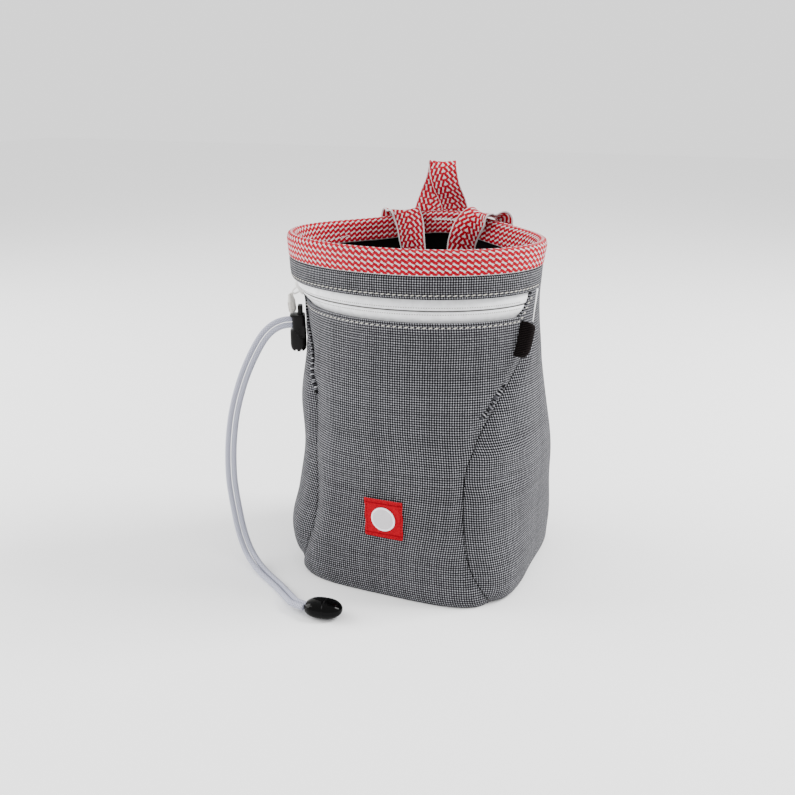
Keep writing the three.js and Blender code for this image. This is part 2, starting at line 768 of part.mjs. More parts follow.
addPiece('front_panel', makeFrontPanel(), weave, 0.92);
addPiece('back_panel', makeBackPanel(), weave, 0.92);
addPiece('gusset_left', makeGussetLeft(), weave, 0.92);
addPiece('gusset_right', makeGussetRight(), weave, 0.92);
addPiece('base_panel', makeBasePanel(), weave, 0.92);
addPiece('collar_band', makeCollar(), weave, 0.92);
addPiece('rim_binding', makeBinding(), redWhite, 0.85);
addPiece('lining', makeLining(), blackCloth, 0.7);
addPiece('zip_tape_upper', zipTape(zipMiddle + gap / 2, collarBottom + zipTapeCover), zipWhite, 0.6);
addPiece('zip_tape_lower', zipTape(zipBottom - zipTapeCover, zipMiddle - gap / 2), zipWhite, 0.6);
addPiece('strap_left', makeStrap(-1, 2.4), redWhite, 0.85);
addPiece('strap_right', makeStrap(1, -1.5), redWhite, 0.85);
addPiece('hang_loop', makeHangLoop(), redWhite, 0.85);
addPiece('brush_loop', makeBrushLoop(), blackCloth, 0.8);
addPiece('label', makeLabel(), 0xd8161c, 0.7);

const mark = addPiece('label_mark', makeLabelMark(), 0xf4f4f4, 0.7);
const labelAcross = labelPoint(markRadius, 0, 0).sub(labelPoint(-markRadius, 0, 0));
const labelUp = labelPoint(0, markRadius, 0).sub(labelPoint(0, -markRadius, 0));
const labelFacing = labelAcross.cross(labelUp).normalize();
mark.position.copy(labelPoint(0, 0, labelOut + gap));
mark.quaternion.setFromUnitVectors(new THREE.Vector3(0, 1, 0), labelFacing);

const lockSeat = seatAt(hardwareTurn, lockBottom);
const zipSeat = seatAt(hardwareTurn, zipMiddle);
const sliderSeat = seatAt(hardwareTurn, zipMiddle, sliderWidth / 2);
addPiece('cord_lock', makeLockBody(lockSeat), blackPlastic, 0.45);
addPiece('lock_button', makeLockButton(lockSeat), blackPlastic, 0.45);
addPiece('zip_slider', makeSlider(sliderSeat), zipWhite, 0.4, 0.3);
addPiece('zip_pull', makePull(sliderSeat, zipSeat), zipWhite, 0.5);

addPiece('cord_strand_upper', makeStrand(1), cordWhite, 0.8);
addPiece('cord_strand_lower', makeStrand(-1), cordWhite, 0.8);
addPiece('cord_end_cap', makeEndCap(), blackPlastic, 0.2);

export default bag;
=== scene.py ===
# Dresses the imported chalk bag: woven panels, patterned tape, zip, cord lock, cord and label.
# Shapes are worked out in millimetres in the bag's own frame and written in metres.
import math
import bpy
import numpy as np
from mathutils import Matrix, Vector


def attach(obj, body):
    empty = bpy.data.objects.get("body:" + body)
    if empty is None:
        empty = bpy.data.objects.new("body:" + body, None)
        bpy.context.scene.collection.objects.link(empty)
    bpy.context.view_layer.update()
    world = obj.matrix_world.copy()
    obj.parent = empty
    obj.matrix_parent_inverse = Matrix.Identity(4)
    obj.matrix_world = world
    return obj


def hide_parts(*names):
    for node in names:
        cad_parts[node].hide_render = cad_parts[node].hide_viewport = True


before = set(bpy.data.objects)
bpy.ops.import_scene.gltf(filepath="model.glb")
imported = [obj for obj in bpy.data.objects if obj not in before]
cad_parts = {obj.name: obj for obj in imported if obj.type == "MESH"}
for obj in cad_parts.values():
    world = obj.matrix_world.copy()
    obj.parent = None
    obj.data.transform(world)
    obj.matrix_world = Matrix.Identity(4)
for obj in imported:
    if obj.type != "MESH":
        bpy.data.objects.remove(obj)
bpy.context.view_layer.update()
mm = 0.001
bpy.ops.object.select_all(action="DESELECT")
print("frame loaded")

# camera

view = {
    "place": (0.1930, -0.4440, 0.2391),
    "tilt": math.pi / 2 - 0.310,
    "turn": 0.425,
    "lens": 44.89,
}


def placeCamera():
    bpy.ops.object.camera_add(location=view["place"], rotation=(view["tilt"], 0, view["turn"]))
    camera = bpy.context.object
    camera.data.lens = view["lens"]
    camera.data.sensor_width = 36
    bpy.context.scene.camera = camera


placeCamera()

# the bag's surface

bag = {
    "rimDepth": 98.0,
    "bodyWidth": 122.0,
    "baseDepth": 116.0,
    "height": 168.2,
    "backRise": 5.7,
    "riseSpread": 36.0,
    "baseSquareness": 4.0,
    "rimSquareness": 2.0,
    "baseSetBack": 2.8,
    "squareTop": 0.65,
    "squareFade": 0.8,
    "taperTop": 0.8,
    "riseStart": 0.8,
    "riseEnd": 0.93,
    "reliefFade": 0.66,
    "reliefEnd": 0.78,
    "seamPinch": 1.8,
    "seamPinchWidth": 5.0,
}
cloth = {
    "wall": 1.4,
    "lining": 1.0,
    "tape": 1.0,
    "base": 1.6,
    "gap": 0.3,
    "liningSlack": 2.2,
    "rimFold": 0.9,
}
levels = {"collarTop": 156.6, "collarBottom": 146.0, "zipBottom": 135.4, "zipMiddle": 140.7}
zipEnd = {"turn": 85.5, "corner": 12.5, "leftTurn": 82.0, "leftCorner": 5.0, "tapeTurn": 85.2}
panelTop = levels["collarBottom"] - cloth["gap"]
panelBottom = cloth["base"] + cloth["gap"]
collarUnder = bag["height"] - cloth["tape"] - 2 * cloth["gap"] - cloth["rimFold"]
# how far pieces lie inside the bag's outer face
bindingInset = cloth["tape"] + cloth["gap"] + cloth["wall"] + cloth["gap"]
zipInset = cloth["wall"] + 3 * cloth["gap"]
liningInset = cloth["wall"] + bag["seamPinch"] + cloth["liningSlack"]

# height, width and lean as shares of the bag's height and the body's width
sections = np.array([
    (0.0, 0.936, 0.065),
    (0.036, 0.985, 0.053),
    (0.12, 1.028, 0.045),
    (0.24, 1.003, 0.064),
    (0.36, 1.002, 0.073),
    (0.51, 1.013, 0.049),
    (0.65, 0.984, 0.046),
    (0.8, 0.962, 0.042),
    (0.87, 1.032, 0.009),
    (0.94, 1.056, 0.006),
    (1.0, 132 / 122, 0.008),
])
# height share, then the turns of the right, left and rear seams
seams = np.array([
    (0.0, 51, 52, 48),
    (0.07, 45.5, 41.5, 43),
    (0.15, 41.5, 36.8, 39),
    (0.22, 39.3, 37, 37.5),
    (0.3, 38.3, 39.5, 38),
    (0.4, 40.3, 44, 42),
    (0.5, 49.6, 45, 47),
    (0.58, 60, 47.5, 54),
    (0.68, 74.8, 56, 64),
    (0.77, 85, 69, 73),
    (0.82, 88.3, 76, 77.8),
    (0.87, 89.8, 82, 82),
])
# turn, height share, reach across, reach along, slant, depth
folds = [
    (-49, 0.61, 4, 0.07, 30, 0.012),
    (-39, 0.5, 7, 0.12, -20, -0.012),
    (58, 0.44, 16, 0.03, 0, 0.012),
    (60, 0.36, 16, 0.03, 0, -0.009),
    (20, 0.5, 22, 0.16, 60, -0.012),
    (-12, 0.3, 26, 0.14, 0, 0.01),
    (-75, 0.4, 14, 0.08, 0, -0.016),
    (-78, 0.16, 18, 0.09, 0, 0.008),
    (-61, 0.04, 13, 0.075, 0, -0.032),
    (62, 0.05, 20, 0.09, 0, 0.022),
    (-57, 0.63, 5, 0.05, 0, 0.008),
    (172, 0.5, 30, 0.18, 40, -0.012),
]
mmPerDegree = math.radians(bag["bodyWidth"] / 2)


def smooth(value, low, high):
    t = np.clip((value - low) / (high - low), 0, 1)
    return t * t * (3 - 2 * t)


def readTable(rows, column, share):
    heights = rows[:, 0]
    values = rows[:, column]
    at = np.clip(share, 0, heights[-1])
    row = np.clip(np.searchsorted(heights, at, side="left") - 1, 0, len(heights) - 2)
    before = np.maximum(np.arange(len(heights)) - 1, 0)
    after = np.minimum(np.arange(len(heights)) + 1, len(heights) - 1)
    slope = (values[after] - values[before]) / (heights[after] - heights[before])
    span = heights[row + 1] - heights[row]
    t = (at - heights[row]) / span
    bend = t * t * (3 - 2 * t)
    easeIn = t * (1 - t) ** 2 * slope[row]
    easeOut = t * t * (t - 1) * slope[row + 1]
    return values[row] + (values[row + 1] - values[row]) * bend + span * (easeIn + easeOut)


def wrapTurn(turn):
    return np.mod(turn + 180, 360) - 180


def seamTurn(side, z):
    column = {"right": 1, "left": 2, "rear": 3}[side]
    return readTable(seams, column, np.asarray(z, float) / bag["height"])


def seamTurns(z):
    rear = 180 - seamTurn("rear", z)
    return [seamTurn("right", z), -seamTurn("left", z), rear, -rear]


def relief(turn, z):
    share = z / bag["height"]
    depth = np.zeros_like(share)
    for seam in seamTurns(z):
        away = wrapTurn(turn - seam) * mmPerDegree / bag["seamPinchWidth"]
        depth = depth - bag["seamPinch"] * np.exp(-away * away)
    for at, height, across, along, slant, deep in folds:
        up = share - height
        side = wrapTurn(turn - at - slant * up) / across
        depth = depth + deep * bag["bodyWidth"] * np.exp(-side * side - (up / along) ** 2)
    return depth * (1 - smooth(share, bag["reliefFade"], bag["reliefEnd"]))


def bagPoints(turn, z, inset=0.0, folded=True):
    turn, z, inset = np.broadcast_arrays(
        np.asarray(turn, float), np.asarray(z, float), np.asarray(inset, float))
    share = z / bag["height"]
    taper = np.clip(share / bag["taperTop"], 0, 1)
    square = np.clip(share / bag["squareTop"], 0, 1) ** bag["squareFade"]
    power = bag["baseSquareness"] + (bag["rimSquareness"] - bag["baseSquareness"]) * square
    move = (relief(turn, z) if folded else 0) - inset
    halfWidth = readTable(sections, 1, share) * bag["bodyWidth"] / 2 + move
    halfDepth = (bag["baseDepth"] + (bag["rimDepth"] - bag["baseDepth"]) * taper) / 2 + move
    angle = np.radians(turn)
    x = np.abs(np.sin(angle) / halfWidth) ** power
    y = np.abs(np.cos(angle) / halfDepth) ** power
    radius = (x + y) ** (-1 / power)
    away = (180 - np.abs(wrapTurn(turn))) / bag["riseSpread"]
    lift = bag["backRise"] * np.exp(-away * away) * smooth(share, bag["riseStart"], bag["riseEnd"])
    return np.stack([
        readTable(sections, 2, share) * bag["bodyWidth"] + radius * np.sin(angle),
        bag["baseSetBack"] * (1 - taper) - radius * np.cos(angle),
        z + lift,
    ], axis=-1)


def seatAt(turn, z, slopeReach=0.0):
    origin = bagPoints(turn, z)
    along = bagPoints(turn + 0.5, z) - bagPoints(turn - 0.5, z)
    along[2] = 0
    along /= np.linalg.norm(along)
    up = np.array([0.0, 0.0, 1.0])
    if slopeReach > 0:
        up = bagPoints(turn, z + slopeReach) - bagPoints(turn, z - slopeReach)
        up -= along * np.dot(up, along)
        up /= np.linalg.norm(up)
    out = np.cross(along, up)
    return origin, out / np.linalg.norm(out), along, up


# mesh helpers

def wrinkle(points, size, depth, seed):  # smooth waviness in mm from a few seeded waves
    chance = np.random.default_rng(seed)
    total = np.zeros(points.shape[:-1])
    for _ in range(9):
        direction = chance.normal(size=3)
        direction /= np.linalg.norm(direction)
        length = size * chance.uniform(0.7, 1.8)
        phase = chance.uniform(0, 2 * math.pi)
        total = total + np.sin(points @ direction * 2 * math.pi / length + phase)
    return total / 3 * depth


def arcLengths(points, axis):
    step = np.linalg.norm(np.diff(points, axis=axis), axis=-1)
    start = np.zeros_like(np.take(step, [0], axis=axis))
    return np.concatenate([start, np.cumsum(step, axis=axis)], axis=axis)


def inEditMode(piece, operate):
    bpy.context.view_layer.objects.active = piece
    bpy.ops.object.mode_set(mode="EDIT")
    bpy.ops.mesh.select_all(action="SELECT")
    operate()
    bpy.ops.object.mode_set(mode="OBJECT")


def closeEnds(piece):
    inEditMode(piece, lambda: bpy.ops.mesh.fill_holes(sides=0))


def turnOutwards(piece):
    inEditMode(piece, lambda: bpy.ops.mesh.normals_make_consistent(inside=False))


def pairUp(first, second):  # two values at each point of a grid
    return np.stack(np.broadcast_arrays(first, second), axis=-1)


def squaredRound(angle, power):  # a circle drawn out towards a square as the power rises
    across = np.sign(np.cos(angle)) * np.abs(np.cos(angle)) ** (2 / power)
    up = np.sign(np.sin(angle)) * np.abs(np.sin(angle)) ** (2 / power)
    return across, up


def clothGrid(name, points, uvs, loopAlong=False, loopAcross=False):
    rows, columns = points.shape[0] - 1, points.shape[1] - 1
    bpy.ops.object.select_all(action="DESELECT")
    bpy.ops.mesh.primitive_grid_add(x_subdivisions=columns, y_subdivisions=rows, size=2)
    piece = bpy.context.object
    piece.name = name
    mesh = piece.data
    mesh.name = name
    place = np.zeros(len(mesh.vertices) * 3)
    mesh.vertices.foreach_get("co", place)
    place = place.reshape(-1, 3)
    column = np.rint((place[:, 0] + 1) / 2 * columns).astype(int)
    row = np.rint((place[:, 1] + 1) / 2 * rows).astype(int)
    mesh.vertices.foreach_set("co", (points[row, column] * mm).ravel())
    corner = np.zeros(len(mesh.loops), int)
    mesh.loops.foreach_get("vertex_index", corner)
    flat = uvs[row, column][corner] * mm
    mesh.uv_layers.active.data.foreach_set("uv", flat.ravel())
    mesh.update()
    if loopAlong or loopAcross:
        inEditMode(piece, lambda: bpy.ops.mesh.remove_doubles(threshold=0.000004))
    return piece


def closedGrid(name, points, uvs, **loops):
    piece = clothGrid(name, points, uvs, **loops)
    closeEnds(piece)
    turnOutwards(piece)
    return piece


def faceAway(piece, centre):  # turns an open sheet over where it faces the centre
    mesh = piece.data
    total = sum((p.center - Vector(centre)).dot(p.normal) * p.area for p in mesh.polygons)
    if total < 0:
        mesh.flip_normals()


def applyModifier(piece, kind, **settings):
    bpy.ops.object.select_all(action="DESELECT")
    piece.select_set(True)
    bpy.context.view_layer.objects.active = piece
    modifier = piece.modifiers.new(kind.title(), kind)
    for key, value in settings.items():
        setattr(modifier, key, value)
    bpy.ops.object.modifier_apply(modifier=modifier.name)


def finishPiece(piece, material, body="bag", stands=(), angle=None):
    bpy.ops.object.select_all(action="DESELECT")
    piece.select_set(True)
    bpy.context.view_layer.objects.active = piece
    if angle is None:
        bpy.ops.object.shade_smooth()
    else:
        bpy.ops.object.shade_smooth_by_angle(angle=math.radians(angle))
    piece.data.materials.clear()
    piece.data.materials.append(material)
    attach(piece, body)
    if stands:
        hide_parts(*stands)
    piece.select_set(False)
    return piece


# material helpers

class Finish:
    def __init__(self, name):
        self.material = bpy.data.materials.new(name)
        self.material.use_nodes = True
        self.tree = self.material.node_tree
        self.shader = self.tree.nodes["Principled BSDF"]

    def node(self, kind, inputs=None, **settings):
        made = self.tree.nodes.new(kind)
        for key, value in settings.items():
            setattr(made, key, value)
        for key, value in (inputs or {}).items():
            self.feed(made.inputs[key], value)
        return made

    def feed(self, socket, value):
        if isinstance(value, bpy.types.NodeSocket):
            self.tree.links.new(value, socket)
        else:
            socket.default_value = value

    def sum(self, operation, *values):
        made = self.node("ShaderNodeMath", operation=operation)
        for index, value in enumerate(values):
            self.feed(made.inputs[index], value)
        return made.outputs[0]

    def blend(self, factor, first, second, kind="MIX"):
        made = self.node("ShaderNodeMix", data_type="RGBA", blend_type=kind)
        self.feed(made.inputs[0], factor)
        self.feed(made.inputs[6], first)
        self.feed(made.inputs[7], second)
        return made.outputs[2]

    def tint(self, colour, amount):  # the colour made lighter or darker by the amount
        tone = self.node("ShaderNodeCombineColor", {"Red": amount, "Green": amount, "Blue": amount})
        return self.blend(1.0, colour, tone.outputs[0], "MULTIPLY")

    def uv(self):
        made = self.node("ShaderNodeUVMap", uv_map="UVMap")
        parts = self.node("ShaderNodeSeparateXYZ", {"Vector": made.outputs[0]})
        return parts.outputs[0], parts.outputs[1]

    def place(self):
        return self.node("ShaderNodeTexCoord").outputs["Object"]

    def noise(self, scale, detail=3.0, vector=None):
        vector = vector or self.place()
        made = self.node("ShaderNodeTexNoise", {"Vector": vector, "Scale": scale, "Detail": detail})
        return made.outputs[0]

    def levels(self, value, low, high, start=0.0, end=1.0):
        made = self.node("ShaderNodeMapRange", {
            "Value": value, "From Min": low, "From Max": high, "To Min": start, "To Max": end})
        return made.outputs[0]

    def bump(self, height, distance, strength=1.0):
        made = self.node("ShaderNodeBump", {
            "Height": height, "Distance": distance, "Strength": strength})
        self.tree.links.new(made.outputs[0], self.shader.inputs["Normal"])

    def surface(self, **values):
        names = {"colour": "Base Color", "roughness": "Roughness", "metallic": "Metallic",
                 "sheen": "Sheen Weight", "sheenRoughness": "Sheen Roughness",
                 "specular": "Specular IOR Level", "coat": "Coat Weight",
                 "coatRoughness": "Coat Roughness"}
        for key, value in values.items():
            self.feed(self.shader.inputs[names[key]], value)


def sine(finish, value):
    return finish.sum("SINE", finish.sum("MULTIPLY", value, math.pi))


# woven cloth: light threads in both directions, with a painted highlight where they rise at
# crossings, painted shade along them and on every other crossing, and painted shade in the holes
# between them

weave = {
    "pitch": 1.16 * mm,
    "light": (0.38, 0.38, 0.405, 1),
    # the middle tone is thread in painted shade away from its crossings; the darkest tone is painted
    # shade in the holes between threads
    "shadedThread": (0.046, 0.046, 0.053, 1),
    "holeShade": (0.0015, 0.0015, 0.0025, 1),
    "roughness": 0.9,
    "relief": 0.0003,
}


def wovenFinish():
    finish = Finish("wovenCloth")
    u, v = finish.uv()
    u = finish.sum("DIVIDE", u, weave["pitch"])
    v = finish.sum("DIVIDE", v, weave["pitch"])
    column = finish.sum("FLOOR", finish.sum("ADD", u, 0.5))
    row = finish.sum("FLOOR", finish.sum("ADD", v, 0.5))
    offU = finish.sum("ABSOLUTE", sine(finish, u))  # 0 on a thread, 1 between two
    offV = finish.sum("ABSOLUTE", sine(finish, v))
    hole = finish.sum("MULTIPLY", offU, offV)
    cross = finish.sum("MULTIPLY", finish.sum("SUBTRACT", 1.0, offU),
                       finish.sum("SUBTRACT", 1.0, offV))
    parity = finish.sum("PINGPONG", finish.sum("ADD", column, row), 1.0)
    randomColumn = finish.node("ShaderNodeTexWhiteNoise", {"W": column}, noise_dimensions="1D")
    randomRow = finish.node("ShaderNodeTexWhiteNoise",
                            {"W": finish.sum("ADD", row, 71.3)}, noise_dimensions="1D")
    spot = finish.node("ShaderNodeCombineXYZ", {"X": column, "Y": row})
    randomSpot = finish.node("ShaderNodeTexWhiteNoise", {"Vector": spot.outputs[0]},
                             noise_dimensions="2D")
    slub = finish.sum("ADD", randomColumn.outputs[0], randomRow.outputs[0])
    slub = finish.sum("ADD", slub, randomSpot.outputs[0])
    fade = finish.levels(slub, 0.4, 2.6, 0.72, 1.28)
    # painted highlight where the threads rise at crossings, painted shade along the threads between
    # them and on every other crossing
    crossingLight = finish.levels(cross, 0.05, 0.55)
    crossingLight = finish.sum("MULTIPLY", crossingLight, finish.levels(parity, 0.0, 1.0, 0.72, 1.0))
    threads = finish.blend(crossingLight, weave["shadedThread"], weave["light"])
    threads = finish.tint(threads, fade)
    # painted shade in the holes between threads
    colour = finish.blend(finish.levels(hole, 0.22, 0.54), threads, weave["holeShade"])
    finish.surface(colour=colour, roughness=weave["roughness"], sheen=0.05, sheenRoughness=0.5,
                   specular=0.1)
    rise = finish.sum("SUBTRACT", finish.sum("ADD", 1.0, finish.sum("MULTIPLY", cross, parity)),
                      hole)
    finish.bump(rise, weave["relief"], 0.7)
    return finish.material


# patterned tape: wavy leaning stripes of red and white, mirrored about the tape's middle line

tape = {
    "red": (0.43, 0.0, 0.016, 1),
    "deepRed": (0.25, 0.0, 0.009, 1),
    "white": (0.62, 0.59, 0.6, 1),
    "pitch": 3.25 * mm,
    "pairHeight": 2.6 * mm,
    "wave": 0.1,
    "swell": 0.13,
    "whiteShare": 0.14,
    "selvedge": 0.45 * mm,
    "broad": 0.95 * mm,
    "roughness": 0.9,
}


def tapeFinish(name, half, flip=1.0, broadEdge=0.0):  # broadEdge picks the side with more white
    finish = Finish(name)
    u, v = finish.uv()
    side = finish.sum("ABSOLUTE", v)
    down = finish.sum("DIVIDE", side, tape["pairHeight"])
    double = finish.sum("MULTIPLY", down, 4.0)
    bend = finish.sum("MULTIPLY", sine(finish, double), tape["wave"])
    along = finish.sum("MULTIPLY", finish.sum("DIVIDE", u, tape["pitch"]), flip)
    phase = finish.sum("FRACT", finish.sum("SUBTRACT", finish.sum("SUBTRACT", along, down), bend))
    off = finish.sum("ABSOLUTE", finish.sum("SUBTRACT", phase, 0.5))
    pair = finish.sum("ADD", finish.sum("MULTIPLY", down, 2.0), 0.5)
    swell = finish.sum("MULTIPLY", sine(finish, pair), tape["swell"])
    width = finish.sum("ADD", swell, tape["whiteShare"])
    white = finish.levels(finish.sum("SUBTRACT", width, off), -0.035, 0.035)
    edge = finish.levels(side, half - tape["selvedge"], half - tape["selvedge"] + 0.05 * mm)
    white = finish.sum("MAXIMUM", white, edge)
    if broadEdge:
        outer = finish.sum("MULTIPLY", v, broadEdge)
        broad = finish.levels(outer, half - tape["broad"], half - tape["broad"] + 0.05 * mm)
        white = finish.sum("MAXIMUM", white, broad)
    mottle = finish.levels(finish.noise(1500.0, 2.0), 0.35, 0.65)
    red = finish.blend(mottle, tape["red"], tape["deepRed"])
    finish.surface(colour=finish.blend(white, red, tape["white"]), roughness=tape["roughness"],
                   specular=0.08)
    finish.bump(finish.sum("ABSOLUTE", sine(finish, double)), 0.00022, 0.8)
    return finish.material


def plainFinish(name, colour, roughness, grain=0.0, grainScale=2000.0, **more):
    finish = Finish(name)
    mottle = finish.levels(finish.noise(grainScale / 4, 3.0), 0.3, 0.7, 0.9, 1.1)
    finish.surface(colour=finish.tint(colour, mottle), roughness=roughness, **more)
    if grain > 0:
        finish.bump(finish.noise(grainScale, 2.0), grain, 0.6)
    return finish.material


def liningFinish():
    finish = Finish("liningCloth")
    u, v = finish.uv()
    fine = finish.sum("MULTIPLY", sine(finish, finish.sum("DIVIDE", u, 0.35 * mm)),
                      sine(finish, finish.sum("DIVIDE", v, 0.35 * mm)))
    finish.surface(colour=(0.001, 0.0007, 0.0007, 1), roughness=0.6, specular=0.05)
    finish.bump(fine, 0.00006, 0.5)
    return finish.material


def elasticFinish():
    finish = Finish("ribbedElastic")
    u, v = finish.uv()
    rib = finish.sum("ABSOLUTE", sine(finish, finish.sum("DIVIDE", u, 0.8 * mm)))
    pick = finish.sum("ABSOLUTE", sine(finish, finish.sum("DIVIDE", v, 0.9 * mm)))
    height = finish.sum("ADD", rib, finish.sum("MULTIPLY", pick, 0.3))
    # colour lighter on the rib crests and darker in the grooves between them: painted highlight and
    # shade
    colour = finish.blend(finish.levels(rib, 0.35, 1.0), (0.0002, 0.0002, 0.0002, 1),
                          (0.013, 0.01, 0.01, 1))
    finish.surface(colour=colour, roughness=0.8, specular=0.03)
    finish.bump(height, 0.0003, 0.9)
    return finish.material


def labelFinish():
    finish = Finish("labelCloth")
    u, v = finish.uv()
    twill = finish.sum("ADD", finish.sum("DIVIDE", u, 0.6 * mm), finish.sum("DIVIDE", v, 0.45 * mm))
    rib = finish.sum("ABSOLUTE", sine(finish, twill))
    speckle = finish.levels(finish.noise(1400.0, 2.0), 0.35, 0.65)
    # colour darker between the twill ribs: painted shade; the speckle is random tone in the cloth
    mixed = finish.sum("MULTIPLY", finish.levels(rib, 0.0, 1.0, 0.55, 1.0),
                       finish.levels(speckle, 0.0, 1.0, 0.7, 1.0))
    # darker band where each hem edge steps up from the label: painted shade
    fromMiddle = finish.sum("ABSOLUTE", finish.sum("SUBTRACT", finish.sum("ABSOLUTE", v), 7.35 * mm))
    groove = finish.levels(fromMiddle, 0.15 * mm, 0.5 * mm, 0.45, 1.0)
    mixed = finish.sum("MULTIPLY", mixed, groove)
    colour = finish.blend(mixed, (0.08, 0.0, 0.002, 1), (0.45, 0.0, 0.012, 1))
    finish.surface(colour=colour, roughness=0.8, specular=0.06)
    finish.bump(rib, 0.00012, 0.7)
    return finish.material


def threadFinish(name, colour, pitch=0.45 * mm):
    finish = Finish(name)
    u, v = finish.uv()
    turns = finish.sum("ADD", finish.sum("DIVIDE", u, pitch), finish.sum("DIVIDE", v, pitch * 2))
    rib = finish.sum("ABSOLUTE", sine(finish, turns))
    shade = finish.levels(rib, 0.0, 1.0, 0.72, 1.0)
    finish.surface(colour=finish.tint(colour, shade), roughness=0.6, sheen=0.2, specular=0.35)
    finish.bump(rib, 0.00008, 0.6)
    return finish.material


def cordFinish():
    finish = Finish("braidedCord")
    u, v = finish.uv()
    first = finish.sum("ADD", finish.sum("DIVIDE", u, 1.6 * mm), finish.sum("DIVIDE", v, 1.2 * mm))
    second = finish.sum("SUBTRACT", finish.sum("DIVIDE", u, 1.6 * mm),
                        finish.sum("DIVIDE", v, 1.2 * mm))
    braid = finish.sum("MULTIPLY", finish.sum("ABSOLUTE", sine(finish, first)),
                       finish.sum("ABSOLUTE", sine(finish, second)))
    # colour darker in the grooves between the braided strands and lighter on their crests: painted
    # shade and highlight
    colour = finish.blend(finish.levels(braid, 0.0, 0.6), (0.2, 0.205, 0.27, 1),
                          (0.47, 0.48, 0.57, 1))
    finish.surface(colour=colour, roughness=0.7, specular=0.25)
    finish.bump(braid, 0.00015, 0.6)
    return finish.material


finishes = {
    "weave": wovenFinish(),
    "rimTape": tapeFinish("rimTape", 13.15 * mm),
    "leftTape": tapeFinish("leftTape", 7.5 * mm, broadEdge=1.0),
    "rightTape": tapeFinish("rightTape", 7.5 * mm, broadEdge=-1.0),
    "hangTape": tapeFinish("hangTape", 7.5 * mm, flip=-1.0),
    "lining": liningFinish(),
    "zipCoat": plainFinish("zipCoat", (0.78, 0.785, 0.8, 1), 0.4, 0.00002, 1500.0, specular=0.4),
    "elastic": elasticFinish(),
    "label": labelFinish(),
    "markThread": threadFinish("markThread", (0.66, 0.63, 0.66, 1)),
    "markEdge": plainFinish("markEdge", (0.85, 0.86, 0.9, 1), 0.6),
    "topThread": plainFinish("topThread", (0.5, 0.48, 0.43, 1), 0.8, 0.00004, 4000.0),
    "zipThread": plainFinish("zipThread", (0.3, 0.29, 0.27, 1), 0.6),
    # dark colour for the zip's meeting line: painted shade in the gap between the tapes
    "zipGapShade": plainFinish("zipGapShade", (0.06, 0.055, 0.05, 1), 0.8, specular=0.1),
    "whiteThread": plainFinish("whiteThread", (0.82, 0.78, 0.78, 1), 0.7, 0.00004, 4000.0),
    "labelThread": plainFinish("labelThread", (0.26, 0.0, 0.006, 1), 0.7, specular=0.1),
    "blackPlastic": plainFinish("blackPlastic", (0.004, 0.0036, 0.0036, 1), 0.42, 0.00003, 3500.0,
                                specular=0.12),
    "glossBlack": plainFinish("glossBlack", (0.0012, 0.0012, 0.0012, 1), 0.1, 0.00001, 900.0,
                              specular=0.07),
    "whiteMetal": plainFinish("whiteMetal", (0.74, 0.73, 0.71, 1), 0.32, 0.00002, 2500.0),
    "softWhite": plainFinish("softWhite", (0.66, 0.64, 0.6, 1), 0.5, 0.00003, 2500.0),
    "cord": cordFinish(),
}
print("finishes made")

# closing cord: two strands side by side along one route

cord = {
    "diameter": 2.8,
    "spacing": 3.1,
    "around": 16,
    "along": 300,
    "facing": (0.41, -0.91, 0.3),
    "twistFrom": 0.55,
    "twistTo": 0.85,
    "length": 0.19,
    "inCap": 1.6,
}
cordRoute = np.array([
    (-55.0, -23.7, 123.6), (-58.2, -25.3, 123.3), (-61.5, -26.9, 122.2), (-64.8, -28.4, 120.0),
    (-67.9, -29.8, 116.6), (-70.8, -31.4, 111.8), (-73.3, -33.0, 106.4), (-75.5, -34.9, 100.6),
    (-77.3, -36.8, 94.6), (-78.8, -38.6, 88.2), (-80.0, -40.4, 81.6), (-80.8, -42.2, 74.4),
    (-81.2, -43.8, 66.8), (-81.3, -45.2, 58.8), (-81.1, -46.2, 50.6), (-80.6, -46.8, 42.2),
    (-79.6, -47.0, 34.0), (-78.1, -47.4, 26.0), (-75.9, -48.6, 18.8), (-72.5, -50.6, 12.2),
    (-67.7, -53.6, 7.2), (-61.5, -57.4, 4.0), (-54.4, -61.6, 2.3), (-47.0, -66.0, 1.7),
    (-39.6, -70.8, 1.7), (-33.0, -76.0, 2.2), (-27.8, -80.6, 3.2), (-23.2, -84.4, 4.0),
    (-17.9, -85.7, 4.3),
])


def smoothCurve(points, count):  # evenly spaced along a curve through the points
    points = np.asarray(points, float)
    first = 2 * points[0] - points[1]
    last = 2 * points[-1] - points[-2]
    full = np.vstack([first, points, last])
    fine = []
    for i in range(len(points) - 1):
        p0, p1, p2, p3 = full[i:i + 4]
        d0, d1, d2 = (max(np.linalg.norm(b - a), 1e-6) ** 0.5
                      for a, b in ((p0, p1), (p1, p2), (p2, p3)))
        m1 = ((p1 - p0) / d0 - (p2 - p0) / (d0 + d1) + (p2 - p1) / d1) * d1
        m2 = ((p2 - p1) / d1 - (p3 - p1) / (d1 + d2) + (p3 - p2) / d2) * d1
        t = np.linspace(0, 1, 41)[:-1, None]
        fine.append((2 * t ** 3 - 3 * t ** 2 + 1) * p1 + (t ** 3 - 2 * t ** 2 + t) * m1
                    + (-2 * t ** 3 + 3 * t ** 2) * p2 + (t ** 3 - t ** 2) * m2)
    fine = np.vstack(fine + [points[-1:]])
    length = np.concatenate([[0], np.cumsum(np.linalg.norm(np.diff(fine, axis=0), axis=1))])
    at = np.linspace(0, length[-1], count + 1)
    return np.stack([np.interp(at, length, fine[:, k]) for k in range(3)], axis=1)


def directions(path):
    tangent = np.gradient(path, axis=0)
    return tangent / np.linalg.norm(tangent, axis=1, keepdims=True)


